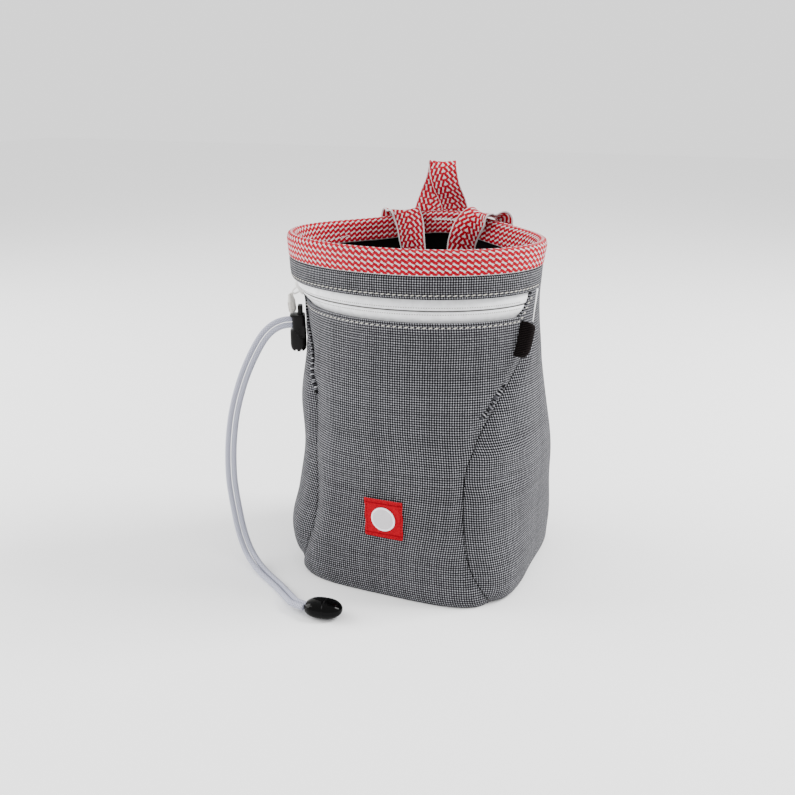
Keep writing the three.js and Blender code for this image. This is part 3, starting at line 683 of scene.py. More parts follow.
def strandPath(side):
    middle = smoothCurve(cordRoute, cord["along"])
    tangent = directions(middle)
    share = np.linspace(0, 1, len(middle))[:, None]
    facing = np.array(cord["facing"]) / np.linalg.norm(cord["facing"])
    flat = smooth(share, cord["twistFrom"], cord["twistTo"])
    offset = np.cross(tangent, facing * (1 - flat) + np.array([0, 0, 1.0]) * flat)
    offset /= np.linalg.norm(offset, axis=1, keepdims=True)
    path = middle + offset * side * cord["spacing"] / 2
    inCap = path[-1] + tangent[-1] * cord["inCap"] * np.array([[0.5], [1.0]])
    return np.vstack([path, inCap])


def tubeGrid(name, path, radius, around):
    tangent = directions(path)
    across = np.cross(tangent, np.array([0.3, -0.5, 0.81]))
    across /= np.linalg.norm(across, axis=1, keepdims=True)
    other = np.cross(tangent, across)
    angle = np.linspace(0, 2 * math.pi, around + 1)
    ring = (np.cos(angle)[None, :, None] * across[:, None]
            + np.sin(angle)[None, :, None] * other[:, None])
    points = path[:, None] + ring * radius
    along = arcLengths(path, 0)
    uvs = pairUp(along[:, None], (angle * np.mean(radius))[None, :])
    return closedGrid(name, points, uvs, loopAcross=True)


def makeCord():
    strands = {}
    for name, side in (("cordUpper", 1), ("cordLower", -1)):
        path = strandPath(side)
        piece = tubeGrid(name, path, cord["diameter"] / 2, cord["around"])
        node = "cord_strand_upper" if side > 0 else "cord_strand_lower"
        finishPiece(piece, finishes["cord"], stands=[node])
        strands[name] = (piece, path)
    return strands


strands = makeCord()
print("cord laid")

# walls of the bag

wall = {
    "rows": 150,
    "bottom": 0.25,
    "footRoll": 1.1,
    "footHeight": 3.5,
    "seamRoll": 0.15,
    "seamRollWidth": 0.6,
    "wave": 0.35,
    "waveSize": 46.0,
}


def pocketTop(turn):
    corner = np.where(turn < 0, zipEnd["leftCorner"], zipEnd["corner"])
    end = np.where(turn < 0, zipEnd["leftTurn"], zipEnd["turn"])
    rise = smooth(np.abs(turn), end - corner, end)
    return levels["zipBottom"] + (panelTop - levels["zipBottom"]) * rise


def wallPanel(name, leftTurn, rightTurn, topAt, columns, stands, plumb):
    # plumb is the turn at which the cloth's threads stand upright
    rise = np.linspace(0, 1, wall["rows"] + 1)[:, None]
    across = np.linspace(0, 1, columns + 1)[None, :]
    trim = cloth["gap"] / 2 / mmPerDegree
    topTurn = leftTurn(panelTop) * (1 - across) + rightTurn(panelTop) * across
    z = wall["bottom"] + (topAt(topTurn) - wall["bottom"]) * rise
    seamZ = panelBottom + (panelTop - panelBottom) * rise
    low = leftTurn(seamZ) + trim
    high = rightTurn(seamZ) - trim
    turn = low + (high - low) * across
    base = bagPoints(turn, z)
    edge = np.minimum(across * (high - low), (1 - across) * (high - low)) * mmPerDegree
    roll = wall["seamRoll"] * np.exp(-(edge / wall["seamRollWidth"]) ** 2)
    roll = roll + wall["footRoll"] * np.clip(1 - z / wall["footHeight"], 0, 1) ** 2
    quiet = smooth(z, 0, 12) * (1 - smooth(z, 120, 134))
    wave = wrinkle(base, wall["waveSize"], wall["wave"], 5) * quiet
    points = bagPoints(turn, z, roll - wave)
    flatStep = np.linalg.norm(np.diff(points[..., :2], axis=1), axis=-1)
    flat = np.concatenate([np.zeros((len(flatStep), 1)), np.cumsum(flatStep, axis=1)], axis=1)
    upright = np.array([[np.interp(plumb, t, f)] for t, f in zip(turn, flat)])
    line = bagPoints(plumb, z[:, columns // 2])
    rising = arcLengths(line, 0)
    level = np.interp(z, z[:, columns // 2], rising)
    level = level + np.maximum(z - z[-1, columns // 2], 0)
    uvs = np.stack([flat - upright, level], axis=-1)
    piece = clothGrid(name, points, uvs)
    faceAway(piece, (0, 0, 0.08))
    applyModifier(piece, "SOLIDIFY", thickness=cloth["wall"] * mm, offset=-1.0, use_rim=True)
    return finishPiece(piece, finishes["weave"], stands=stands)


def makeWalls():
    wallPanel("frontPanel", lambda z: -seamTurn("left", z), lambda z: seamTurn("right", z),
              pocketTop, 150, ["front_panel"], 0)
    wallPanel("backPanel", lambda z: 180 - seamTurn("rear", z), lambda z: 180 + seamTurn("rear", z),
              lambda turn: panelTop + 0 * turn, 110, ["back_panel"], 180)
    wallPanel("gussetRight", lambda z: seamTurn("right", z), lambda z: 180 - seamTurn("rear", z),
              lambda turn: panelTop + 0 * turn, 80, ["gusset_right"], 92)
    wallPanel("gussetLeft", lambda z: seamTurn("rear", z) - 180, lambda z: -seamTurn("left", z),
              lambda turn: panelTop + 0 * turn, 80, ["gusset_left"], -90)


makeWalls()
print("walls made")

# rings around the bag: base, collar, binding, lining

rings = {"turns": 288, "baseTurns": 200}


def ringGrid(name, profile, turns, uvShift=0.0):
    turn = np.linspace(-180, 180, turns + 1)[None, :]
    inset = np.array([row[0] for row in profile])[:, None]
    z = np.array([row[1] for row in profile])[:, None]
    points = bagPoints(turn, z, inset)
    along = arcLengths(bagPoints(turn, np.full((1, 1), z.mean())), 1)
    across = arcLengths(points, 0).mean(axis=1, keepdims=True) - uvShift
    piece = clothGrid(name, points, pairUp(along, across), loopAlong=True, loopAcross=True)
    turnOutwards(piece)
    return piece


def makeBase():
    turn = np.linspace(-180, 180, rings["baseTurns"] + 1)[None, :]
    share = np.array([0.02, 0.3, 0.55, 0.75, 0.9, 0.97, 0.992, 1.0, 1.0, 0.992, 0.97, 0.9, 0.5, 0.02])
    height = np.array([0, 0, 0, 0, 0, 0, 0.1, 0.5, 1.1, 1.5, 1.6, 1.6, 1.6, 1.6])
    edge = bagPoints(turn, height[:, None], 3.0)
    centre = np.array([bag["bodyWidth"] * 0.065, bag["baseSetBack"], 0])
    points = centre + (edge - centre) * np.stack([share, share, share * 0 + 1], axis=-1)[:, None]
    points[..., 2] = height[:, None]
    piece = closedGrid("basePanel", points, points[..., :2].copy(), loopAlong=True)
    finishPiece(piece, finishes["weave"], stands=["base_panel"])


def makeCollar():
    low, top = levels["collarBottom"], levels["collarTop"] - 2 * cloth["gap"]
    inner = cloth["tape"] + cloth["gap"]
    wallInset = cloth["wall"]
    profile = [
        (0.35, low - 0.05), (0.08, low + 0.25), (-0.1, low + 0.9), (-0.05, low + 2.2),
        (-0.1, low + 4.2), (0.0, low + 6.5), (0.0, low + 8.5), (0.0, top - 0.4), (0.4, top),
        (inner, top + 0.7), (inner, collarUnder), (inner + wallInset, collarUnder),
        (inner + wallInset, top + 0.3), (wallInset, top - 0.5), (wallInset, low + 5),
        (wallInset, low + 0.4), (wallInset - 0.35, low - 0.05), (0.35, low - 0.05),
    ]
    piece = ringGrid("collarBand", profile, rings["turns"])
    finishPiece(piece, finishes["weave"], stands=["collar_band"], angle=60)


def makeBinding():
    low, high = levels["collarTop"], bag["height"]
    deep = bindingInset + cloth["lining"] + cloth["gap"] + cloth["tape"]
    middle = deep / 2
    outside = [(0.35, low), (0.0, low + 0.3), (-0.12, low + 1.4), (-0.05, low + 4), (0.0, low + 7),
               (0.05, high - 3.2), (0.3, high - 1.8), (0.95, high - 0.7), (1.8, high - 0.15)]
    insideFace = [(deep - a, z) for a, z in reversed(outside)]
    core = 0.95
    under = [(deep - core, low), (deep - core, low + 5), (deep - core, high - 2.6),
             (deep - 1.5, high - 1.3), (middle, high - 1.0), (1.5, high - 1.3),
             (core, high - 2.6), (core, low + 5), (core, low), (0.35, low)]
    profile = outside + [(middle, high)] + insideFace + under
    shift = sum(math.dist(a, b) for a, b in zip(outside, outside[1:] + [(middle, high)]))
    piece = ringGrid("rimBinding", profile, rings["turns"], uvShift=shift)
    finishPiece(piece, finishes["rimTape"], stands=["rim_binding"], angle=60)


def makeLining():
    floorZ = panelBottom + cloth["gap"]
    turn = np.linspace(-180, 180, 201)[None, :]
    z = np.linspace(floorZ + 1.2, collarUnder, 90)[:, None]
    blend = smooth(z, levels["zipMiddle"], levels["collarTop"])
    inset = liningInset + (bindingInset - liningInset) * blend + cloth["lining"]
    flat = bagPoints(turn, z, inset, False)
    depth = smooth(z, 6, 25) * (1 - smooth(z, 138, 158))
    drape = wrinkle(flat * np.array([1, 1, 0.35]), 30.0, 1.6, 11) * depth
    sides = bagPoints(turn, z, inset + np.maximum(drape, -0.6), False)
    shares = np.array([0.01, 0.3, 0.6, 0.85, 0.95])[:, None, None]
    edge = bagPoints(turn, np.full((1, 1), floorZ + 1.0), inset[0] + 0.6, False)
    centre = np.array([bag["bodyWidth"] * 0.065, bag["baseSetBack"], floorZ + 1.0])
    floor = centre + (edge - centre) * shares
    points = np.concatenate([floor, sides], axis=0)
    uvs = pairUp(arcLengths(sides, 1).mean(axis=0)[None, :],
                 arcLengths(points, 0).mean(axis=1)[:, None])
    piece = clothGrid("liningTube", points, uvs, loopAlong=True)
    closeEnds(piece)
    bpy.ops.object.mode_set(mode="EDIT")
    bpy.ops.mesh.select_all(action="DESELECT")
    bpy.ops.object.mode_set(mode="OBJECT")
    mesh = piece.data
    for face in mesh.polygons:
        face.select = face.center.z > (collarUnder - 0.6) * mm and len(face.vertices) > 10
    bpy.ops.object.mode_set(mode="EDIT")
    bpy.ops.mesh.select_mode(type="FACE")
    bpy.ops.mesh.delete(type="FACE")
    bpy.ops.object.mode_set(mode="OBJECT")
    faceAway(piece, (0, 0, 0.08))
    applyModifier(piece, "SOLIDIFY", thickness=0.8 * mm, offset=1.0, use_rim=True)
    finishPiece(piece, finishes["lining"], stands=["lining"])


makeBase()
makeCollar()
makeBinding()
makeLining()
print("base, collar, binding and lining made")

# zip: two coated tapes that meet over the coil

zipShape = {"turns": 200, "bulge": 1.7, "bulgeReach": 4.2, "lip": 0.9}


def makeZip():
    middle = levels["zipMiddle"]
    half = cloth["gap"] / 4
    turn = np.linspace(-zipEnd["leftTurn"], zipEnd["tapeTurn"], zipShape["turns"] + 1)[:, None]
    for name, sign, reach, node in (
            ("zipUpper", 1, levels["collarBottom"] + 3 - middle, "zip_tape_upper"),
            ("zipLower", -1, middle - levels["zipBottom"] + 3, "zip_tape_lower")):
        away = np.array([0, 0.12, 0.4, 0.8, 1.3, 1.9, 2.6, 3.4, 4.6, 6.2, reach - 0.1, reach])
        bulge = zipShape["bulge"] * np.exp(-(away / zipShape["bulgeReach"]) ** 4)
        lip = zipShape["lip"] * np.exp(-(away / 0.3) ** 2)
        face = list(zip(zipInset - bulge + lip, middle + sign * (half + away)))
        back = [(zipInset + cloth["tape"], z) for _, z in reversed(face)]
        profile = face + back + face[:1]
        insets = np.array([row[0] for row in profile])[None, :]
        heights = np.array([row[1] for row in profile])[None, :]
        points = bagPoints(turn, heights, insets)
        uvs = pairUp(arcLengths(points, 0).mean(axis=1, keepdims=True),
                     arcLengths(points, 1).mean(axis=0, keepdims=True))
        piece = closedGrid(name, points, uvs, loopAcross=True)
        finishPiece(piece, finishes["zipCoat"], stands=[node], angle=50)


makeZip()
print("zip made")

# webbing straps and hang loop

webbing = {
    "width": 15.0,
    "thickness": 1.2,
    "strapArch": 1.5,
    "strapSpread": {"left": (0.5, 1.0), "right": (1.0, 1.3)},
    "strapTwist": {"left": 24.0, "right": 44.0},
    "strapTail": 18.0,
    "strapDrop": 36.0,
    "strapReach": 13.0,
    "strapTurn": 30.0,
    "leftShift": 2.4,
    "rightShift": -1.5,
    "hangHeight": 24.0,
    "hangTail": 12.0,
    "hangBow": 4.3,
    "hangOffset": -4.4,
}
# swing, tail, arch, drop, seat, reach
strapRows = [
    (6, 1, 0, 0, 1, 0),
    (5, 0.45, 0, 0, 1, 0),
    (3, 0, 0.15, 0, 1, -0.1),
    (-0.5, 0, 1, 0, 0, 0.08),
    (-3, 0, 1, 0, 0, 0.42),
    (-5.8, 0, 0, 0.11, 0, 0.72),
    (-8.2, 0, 0, 0.42, 0, 0.95),
    (-9.4, 0, 0, 0.72, 0, 0.86),
    (-10, 0, 0, 1, -1, 0),
]
# side, rise, tail, bow
hangRows = [
    (1, 0, 1, 0),
    (1, 0, 0.1, 0),
    (0.86, 0.2, 0, -0.35),
    (0.5, 0.55, 0, -1),
    (0.2, 0.86, 0, -0.72),
    (0, 1, 0, 0),
    (-0.2, 0.86, 0, 0.72),
    (-0.5, 0.55, 0, 1),
    (-0.8, 0.3, 0, 0.8),
    (-0.9, 0.15, 0, 0.4),
    (-1, 0, 0.1, 0),
    (-1, 0, 1, 0),
]


def webGrid(name, path, sides, width, thickness):
    tangent = directions(path)
    row = np.linspace(0, len(sides) - 1, len(path))
    low = np.minimum(row.astype(int), len(sides) - 2)
    part = (row - low)[:, None]
    across = sides[low] * (1 - part) + sides[low + 1] * part
    across -= tangent * np.sum(across * tangent, axis=1, keepdims=True)
    across /= np.linalg.norm(across, axis=1, keepdims=True)
    face = np.cross(across, tangent)
    half, thick = width / 2, thickness / 2
    steps = np.linspace(-1, 1, 13)
    belly = thick * (1 - 0.12 * steps ** 2)
    top = [(s * (half - 0.3), b) for s, b in zip(steps, belly)]
    outline = top + [(half - 0.05, thick * 0.5), (half, 0), (half - 0.05, -thick * 0.5)]
    outline += [(a, -b) for a, b in reversed(top)]
    outline += [(-half + 0.05, -thick * 0.5), (-half, 0), (-half + 0.05, thick * 0.5), top[0]]
    outline = np.array(outline)
    points = (path[:, None] + across[:, None] * outline[None, :, :1]
              + face[:, None] * outline[None, :, 1:])
    along = arcLengths(path, 0)[:, None]
    return closedGrid(name, points, pairUp(along, outline[None, :, 0]), loopAcross=True)


def strapLine(side, shift):
    outside = -(cloth["gap"] + webbing["thickness"] / 2)
    inside = liningInset + cloth["lining"] + 4 * cloth["gap"] - outside
    hand = "left" if side < 0 else "right"
    spread = webbing["strapSpread"][hand]
    swings = [row[0] * (spread[0] if row[0] > 0 else spread[1]) for row in strapRows]
    turns = [side * (180 - webbing["strapTurn"] - shift - swing) for swing in swings]
    points = []
    for (_, tail, arch, drop, seat, reach), turn in zip(strapRows, turns):
        height = arch * webbing["strapArch"] - tail * webbing["strapTail"]
        height -= drop * webbing["strapDrop"]
        place = outside if seat > 0 else -seat * inside
        level = bag["height"] + min(height, 0)
        point = bagPoints(turn, level, place + reach * webbing["strapReach"])
        point[2] = bagPoints(turn, bag["height"])[2] + height
        points.append(point)
    sides = []
    for swing, turn in zip(swings, turns):
        _, out, along, _ = seatAt(turn, levels["collarTop"])
        twist = math.radians(webbing["strapTwist"][hand]) * min(max(-swing, 0) / 8, 1) * side
        sides.append(along * math.cos(twist) - out * math.sin(twist))
    return smoothCurve(points, 170), np.array(sides)


def hangLine():
    legShift = webbing["width"] / 2 + cloth["gap"] / 2
    rim = bagPoints(180, bag["height"])
    points, turns = [], []
    for side, rise, tail, bow in hangRows:
        x = webbing["hangOffset"] + side * legShift
        turn = 180 - math.degrees(math.atan2(x, rim[1]))
        height = rise * webbing["hangHeight"] - tail * webbing["hangTail"]
        seat = -(cloth["gap"] + webbing["thickness"] / 2)
        point = bagPoints(turn, bag["height"] + min(height, 0), seat)
        points.append((x, point[1] + bow * webbing["hangBow"], rim[2] + height))
        turns.append(turn)
    return smoothCurve(points, 170), np.array([seatAt(t, levels["collarTop"])[2] for t in turns])


def makeWebbing():
    lines = {
        "strapLeft": (*strapLine(-1, webbing["leftShift"]), "strap_left"),
        "strapRight": (*strapLine(1, webbing["rightShift"]), "strap_right"),
        "hangLoop": (*hangLine(), "hang_loop"),
    }
    for name, (path, sides, node) in lines.items():
        piece = webGrid(name, path, sides, webbing["width"], webbing["thickness"])
        look = {"strapLeft": "leftTape", "strapRight": "rightTape", "hangLoop": "hangTape"}[name]
        finishPiece(piece, finishes[look], stands=[node], angle=60)


makeWebbing()
print("webbing made")

# sewn threads: one rounded stitch laid again and again along a line

def stitchRow(name, spots, size, material):  # spots hold place, direction and facing in mm
    bpy.ops.object.select_all(action="DESELECT")
    bpy.ops.mesh.primitive_uv_sphere_add(segments=8, ring_count=5, radius=mm / 2)
    first = bpy.context.object
    first.name = name
    stitch = first.data.copy()
    copies = [first]
    for index, (place, direction, facing) in enumerate(spots):
        along = np.asarray(direction) / np.linalg.norm(direction)
        across = np.cross(facing, along)
        across /= np.linalg.norm(across)
        up = np.cross(along, across)
        length, width, height = size
        placed = Matrix([
            (along[k] * length, across[k] * width, up[k] * height, place[k] * mm)
            for k in range(3)] + [(0, 0, 0, 1)])
        if index == 0:
            first.data.transform(placed)
            continue
        copy = bpy.data.objects.new(name, stitch.copy())
        bpy.context.collection.objects.link(copy)
        copy.data.transform(placed)
        copies.append(copy)
    for copy in copies:
        copy.select_set(True)
    bpy.context.view_layer.objects.active = first
    bpy.ops.object.join()
    turnOutwards(first)
    return finishPiece(first, material)


def rowSpots(turns, heights, pitch, out=0.0, inset=0.0, lean=0.0):  # spots along a line on the bag
    line = bagPoints(turns, heights, inset - out)
    length = arcLengths(line, 0)
    count = int(length[-1] / pitch)
    at = (np.arange(count) + 0.5) * length[-1] / count
    turnAt = np.interp(at, length, turns)
    heightAt = np.interp(at, length, heights)
    spots = []
    for t, z in zip(turnAt, heightAt):
        place = bagPoints(t, z, inset - out)
        step = bagPoints(t + 0.4, z, inset - out) - bagPoints(t - 0.4, z, inset - out)
        step = step / np.linalg.norm(step)
        rise = bagPoints(t, z + 0.4, inset - out) - bagPoints(t, z - 0.4, inset - out)
        facing = np.cross(step, rise)
        direction = step + lean * rise / np.linalg.norm(rise)
        spots.append((place, direction, facing / np.linalg.norm(facing)))
    return spots


stitches = {
    "collarTurns": (-88, 91),
    "pocketTurns": (-80.5, 84.5),
    "zipTurns": (-66, 76),
    "points": 300,
    "out": 0.12,
    "lean": 0.22,
    "collarHeight": 1.9,
    "pocketDrop": 2.0,
    "pitch": 2.75,
    "size": (2.0, 0.55, 0.45),
    "zipPitch": 1.15,
    "zipSize": (0.75, 0.45, 0.36),
    "zipAway": 1.5,
}


def makeStitches():
    count = stitches["points"]
    turns = np.linspace(*stitches["collarTurns"], count)
    collar = rowSpots(turns, np.full(count, levels["collarBottom"] + stitches["collarHeight"]),
                      stitches["pitch"], out=stitches["out"], lean=stitches["lean"])
    stitchRow("collarStitches", collar, stitches["size"], finishes["topThread"])
    turns = np.linspace(*stitches["pocketTurns"], count)
    pocket = rowSpots(turns, pocketTop(turns) - stitches["pocketDrop"], stitches["pitch"],
                      out=stitches["out"], lean=stitches["lean"])
    stitchRow("pocketStitches", pocket, stitches["size"], finishes["topThread"])
    turns = np.linspace(*stitches["zipTurns"], count)
    spots = []
    for side in (-1, 1):
        heights = np.full(count, levels["zipMiddle"] + side * stitches["zipAway"])
        spots += rowSpots(turns, heights, stitches["zipPitch"], out=zipShape["bulge"],
                          inset=zipInset)
    stitchRow("zipStitches", spots, stitches["zipSize"], finishes["zipThread"])


tacks = {
    "turns": (164, 190),
    "height": 163.7,
    "pitch": 0.9,
    "lean": 0.55,
    "size": (2.3, 0.6, 0.5),
    "sideTurns": (-118, -106),
    "sideHeights": (160.4, 158.6),
    "sidePitch": 1.4,
    "sideLean": 0.4,
    "sideSize": (1.7, 0.35, 0.3),
}


def makeTacks():
    inset = 2 * (cloth["tape"] + cloth["gap"]) + cloth["wall"] + cloth["gap"] + cloth["lining"]
    turns = np.linspace(*tacks["turns"], 120)
    spots = []
    for index, (place, direction, facing) in enumerate(
            rowSpots(turns, np.full(120, tacks["height"]), tacks["pitch"], inset=inset)):
        lean = tacks["lean"] if index % 2 else -tacks["lean"]
        spots.append((place, direction + np.array([0, 0, lean]), -facing))
    stitchRow("hangTack", spots, tacks["size"], finishes["whiteThread"])
    turns = np.linspace(*tacks["sideTurns"], 20)
    spots = []
    for index, (place, direction, facing) in enumerate(
            rowSpots(turns, np.linspace(*tacks["sideHeights"], 20), tacks["sidePitch"], inset=inset)):
        lean = tacks["sideLean"] * (-1) ** index
        spots.append((place, direction + np.array([0, 0, lean]), -facing))
    stitchRow("sideTack", spots, tacks["sideSize"], finishes["whiteThread"])


seamStrip = {"low": 131.0, "high": 146.2, "narrow": 0.4, "wide": 0.85, "inset": 0.35}
zipLine = {"startGap": 1, "endGap": 0.5, "points": 220, "depth": 0.42, "radius": 0.2}


def makeSeamStrip():
    z = np.linspace(seamStrip["low"], seamStrip["high"], 60)
    radius = np.linspace(seamStrip["narrow"], seamStrip["wide"], 60)[:, None, None]
    path = bagPoints(seamTurn("right", z), z, seamStrip["inset"])
    piece = tubeGrid("seamStrip", path, radius, 12)
    finishPiece(piece, finishes["zipCoat"])


# a thin dark tube along the zip's meeting line: painted shade in the gap between the two tapes
def makeZipGap():
    turns = np.linspace(-zipEnd["leftTurn"] + zipLine["startGap"],
                        zipEnd["tapeTurn"] - zipLine["endGap"], zipLine["points"])
    inset = zipInset - zipShape["bulge"] + zipLine["depth"]
    path = bagPoints(turns, np.full(zipLine["points"], levels["zipMiddle"]), inset)
    piece = tubeGrid("zipGapShade", path, zipLine["radius"], 8)
    finishPiece(piece, finishes["zipGapShade"])


makeStitches()
makeTacks()
makeSeamStrip()
makeZipGap()
print("stitches sewn")

# label with folded hems, its stitches and a plain round mark

labelShape = {
    "size": 18.5,
    "height": 40.8,
    "turn": 1.1,
    "shift": 0.65,
    "skew": 0.135,
    "tall": 1.03,
    "thickness": 0.8,
    "hem": 1.7,
    "hemRise": 0.22,
    "cells": 44,
    "sheet": 0.65,
    "stitchInside": 1.0,
    "stitchPitch": 1.7,
    "stitchSize": (1.2, 0.36, 0.26),
    "mark": 5.6,
    "markRise": 0.55,
}


def labelPoint(across, up, out):
    z = labelShape["height"] + up * labelShape["tall"]
    middle = bagPoints(labelShape["turn"], z)
    straight = across + labelShape["shift"] - labelShape["skew"] * up
    turn = labelShape["turn"] + np.degrees(np.arctan2(straight, -middle[..., 1]))
    return bagPoints(turn, z, -np.asarray(out, float))


def makeLabel():
    half = labelShape["size"] / 2
    line = np.linspace(-half, half, labelShape["cells"] + 1)
    across, up = np.meshgrid(line, line)
    side = np.abs(across) - half
    end = half - np.abs(up)
    rise = labelShape["hemRise"] * (1 - smooth(end, labelShape["hem"] - 0.25, labelShape["hem"]))
    rounding = 0.35 * (np.exp(-(side / 0.4) ** 2) + np.exp(-(end / 0.3) ** 2))
    sewn = 0.14 * np.exp(-((np.abs(side) - 1.0) / 0.4) ** 2)
    out = cloth["gap"] + labelShape["thickness"] + rise - rounding - sewn
    wave = 1 + 0.012 * np.sin(up * 0.9 + 1) * (np.abs(across) / half) ** 6
    points = labelPoint(across * wave, up, out)
    uvs = np.stack([across, up], axis=-1)
    piece = clothGrid("label", points, uvs)
    faceAway(piece, (0, 0, 0.04))
    applyModifier(piece, "SOLIDIFY", thickness=labelShape["sheet"] * mm, offset=-1.0, use_rim=True)
    finishPiece(piece, finishes["label"], stands=["label"], angle=50)
    inner = half - labelShape["stitchInside"]
    spots = []
    for corner in range(4):
        at = np.arange(-inner, inner, labelShape["stitchPitch"]) + 0.6
        for value in at:
            a, u = ((value, inner), (inner, value), (value, -inner), (-inner, value))[corner]
            along = (1, 0) if corner % 2 == 0 else (0, 1)
            lift = cloth["gap"] + labelShape["thickness"] + 0.06
            if corner % 2 == 0:
                lift += labelShape["hemRise"]
            place = labelPoint(a, u, lift)
            ahead = labelPoint(a + along[0] * 0.3, u + along[1] * 0.3, lift)
            spots.append((place, ahead - place, np.array([0, -1.0, 0.08])))
    stitchRow("labelStitches", spots, labelShape["stitchSize"], finishes["labelThread"])


def makeMark():
    radius = labelShape["mark"]
    steps = np.array([0.02, 0.2, 0.4, 0.6, 0.78, 0.9, 0.97, 1.0, 1.0])[:, None]
    rise = np.array([1, 1, 1, 0.98, 0.95, 0.86, 0.66, 0.35, 0.0])[:, None] * labelShape["markRise"]
    angle = np.linspace(0, 2 * math.pi, 121)[None, :]
    satin = 1 + 0.012 * np.cos(angle * 60)
    across = radius * steps * np.cos(angle) * satin
    up = radius * steps * np.sin(angle) * satin
    thread = 0.07 * np.abs(np.sin((across + 0.35 * up) * math.pi / 0.55)) * (steps < 0.97)
    out = cloth["gap"] + labelShape["thickness"] + 0.05 + rise + thread
    points = labelPoint(across, up, out)
    uvs = np.stack([across, up], axis=-1)
    piece = closedGrid("labelMark", points, uvs, loopAlong=True)
    finishPiece(piece, finishes["markThread"], stands=["label_mark"], angle=60)


def makeMarkEdge():
    radius = labelShape["mark"] - 0.35
    angle = np.linspace(0, 2 * math.pi, 181)
    lift = cloth["gap"] + labelShape["thickness"] + labelShape["markRise"] * 0.75
    path = labelPoint(radius * np.cos(angle), radius * np.sin(angle), lift)
    around = np.linspace(0, 2 * math.pi, 11)
    facing = np.array([0.06, -1.0, 0.05])
    tangent = directions(path)
    across = np.cross(tangent, facing)
    thread = (1 + 0.1 * np.cos(angle * 70))[:, None, None]
    points = (path[:, None] + across[:, None] * (np.cos(around)[None, :, None] * 0.5 * thread)
              + facing * (np.sin(around)[None, :, None] * 0.3 * thread))
    uvs = pairUp((angle * radius)[:, None], around[None, :])
    piece = clothGrid("labelMarkEdge", points, uvs, loopAlong=True, loopAcross=True)
    turnOutwards(piece)
    finishPiece(piece, finishes["markEdge"])


makeLabel()
makeMark()
makeMarkEdge()
print("label made")

# ribbed elastic loop in the right seam

brush = {
    "top": 133.0,
    "foot": 116.0,
    "turns": (69.9, 76.8),
    "length": 16.6,
    "reach": 6.8,
    "web": 1.2,
    "slot": 1.2,
    "droop": 18.0,
    "rows": 40,
    "corner": 3.0,
}


def makeBrushLoop():
    def rootTurn(z):
        return np.interp(z, (brush["foot"], brush["top"]), brush["turns"])

    top = bagPoints(rootTurn(brush["top"]), brush["top"])
    low = brush["top"] - brush["length"] / 2
    while np.linalg.norm(bagPoints(rootTurn(low), low) - top) < brush["length"]:
        low -= 0.1
    bottom = bagPoints(rootTurn(low), low)
    alongSeam = (bottom - top) / np.linalg.norm(bottom - top)
    middle = (brush["top"] + low) / 2
    origin, out, _, up = seatAt(rootTurn(middle), middle)
    out = out - up * math.tan(math.radians(brush["droop"]))
    out -= alongSeam * np.dot(out, alongSeam)
    out /= np.linalg.norm(out)
    across = np.cross(alongSeam, out)
    start = max(0, np.dot(origin - (top + bottom) / 2, out)) + cloth["gap"]
    outer = brush["web"] + brush["slot"] / 2
    inner = brush["slot"] / 2
    bend = brush["reach"] - outer
    angle = np.linspace(-math.pi / 2, math.pi / 2, 13)
    outside = [(0, -outer)] + [(bend * k, -outer) for k in (0.3, 0.6, 0.85)]
    outside += [(bend + outer * math.cos(a), outer * math.sin(a)) for a in angle]
    outside += [(bend * k, outer) for k in (0.85, 0.6, 0.3)] + [(0, outer)]
    inside = [(bend * k, inner) for k in (0, 0.5)]
    inside += [(bend + inner * math.cos(a), inner * math.sin(a)) for a in angle[::-1]]
    inside += [(bend * k, -inner) for k in (0.5, 0)]
    section = np.array(outside + inside + outside[:1])
    span = np.linspace(0, 1, brush["rows"] + 1)[:, None]
    soft = 0.35 * (np.exp(-(span * brush["length"] / 0.5) ** 2)
                   + np.exp(-((1 - span) * brush["length"] / 0.5) ** 2))
    slack = 0.25 * np.sin(span * math.pi)
    corner = np.clip(1 - span * brush["length"] / brush["corner"], 0, 1)
    corner = corner + np.clip(1 - (1 - span) * brush["length"] / (brush["corner"] * 1.6), 0, 1)
    slack = slack - brush["corner"] * (1 - np.sqrt(np.clip(1 - corner ** 2, 0, 1)))
    isOuter = (np.arange(len(section)) < len(outside)) | (np.arange(len(section)) == len(section) - 1)
    pull = np.where(isOuter, -soft, soft * 0.3) + slack * (section[:, 0] / brush["reach"])
    shapeOut = section[:, 0] + pull * (section[:, 0] > 0.1)
    shapeAcross = section[:, 1] + np.sign(section[:, 1]) * np.where(isOuter, -soft, soft * 0.3)
    points = (top + (bottom - top) * span[..., None]
              + out * (start - 0.4 + shapeOut)[..., None] + across * shapeAcross[..., None])
    run = np.concatenate([[0], np.cumsum(np.linalg.norm(np.diff(section, axis=0), axis=1))])
    uvs = pairUp(span * brush["length"], run[None, :])
    piece = closedGrid("brushLoop", points, uvs, loopAcross=True)
    finishPiece(piece, finishes["elastic"], stands=["brush_loop"], angle=60)


makeBrushLoop()
print("brush loop made")

# cord lock, its button, the zip slider and its pull

hardware = {
    "turn": -69.0,
    "lockDrop": 31.9,
    "lockHeight": 18.8,
    "lockReach": 7.1,
    "lockWidth": 9.0,
    "lockWall": 0.8,
    "buttonReach": 2.6,
    "buttonWidth": 6.0,
    "buttonTop": 4.7,
    "buttonStem": 3.8,
    "sliderLength": 8.0,
    "sliderWidth": 7.0,
    "sliderThickness": 2.4,
    "crownReach": 3.7,
    "pullLength": 9.2,
    "pullWidth": 6.4,
    "pullThickness": 2.8,
    "pullLean": -6.5,
    "pullTurn": 20.0,
    "pullSquareness": 3.4,
}
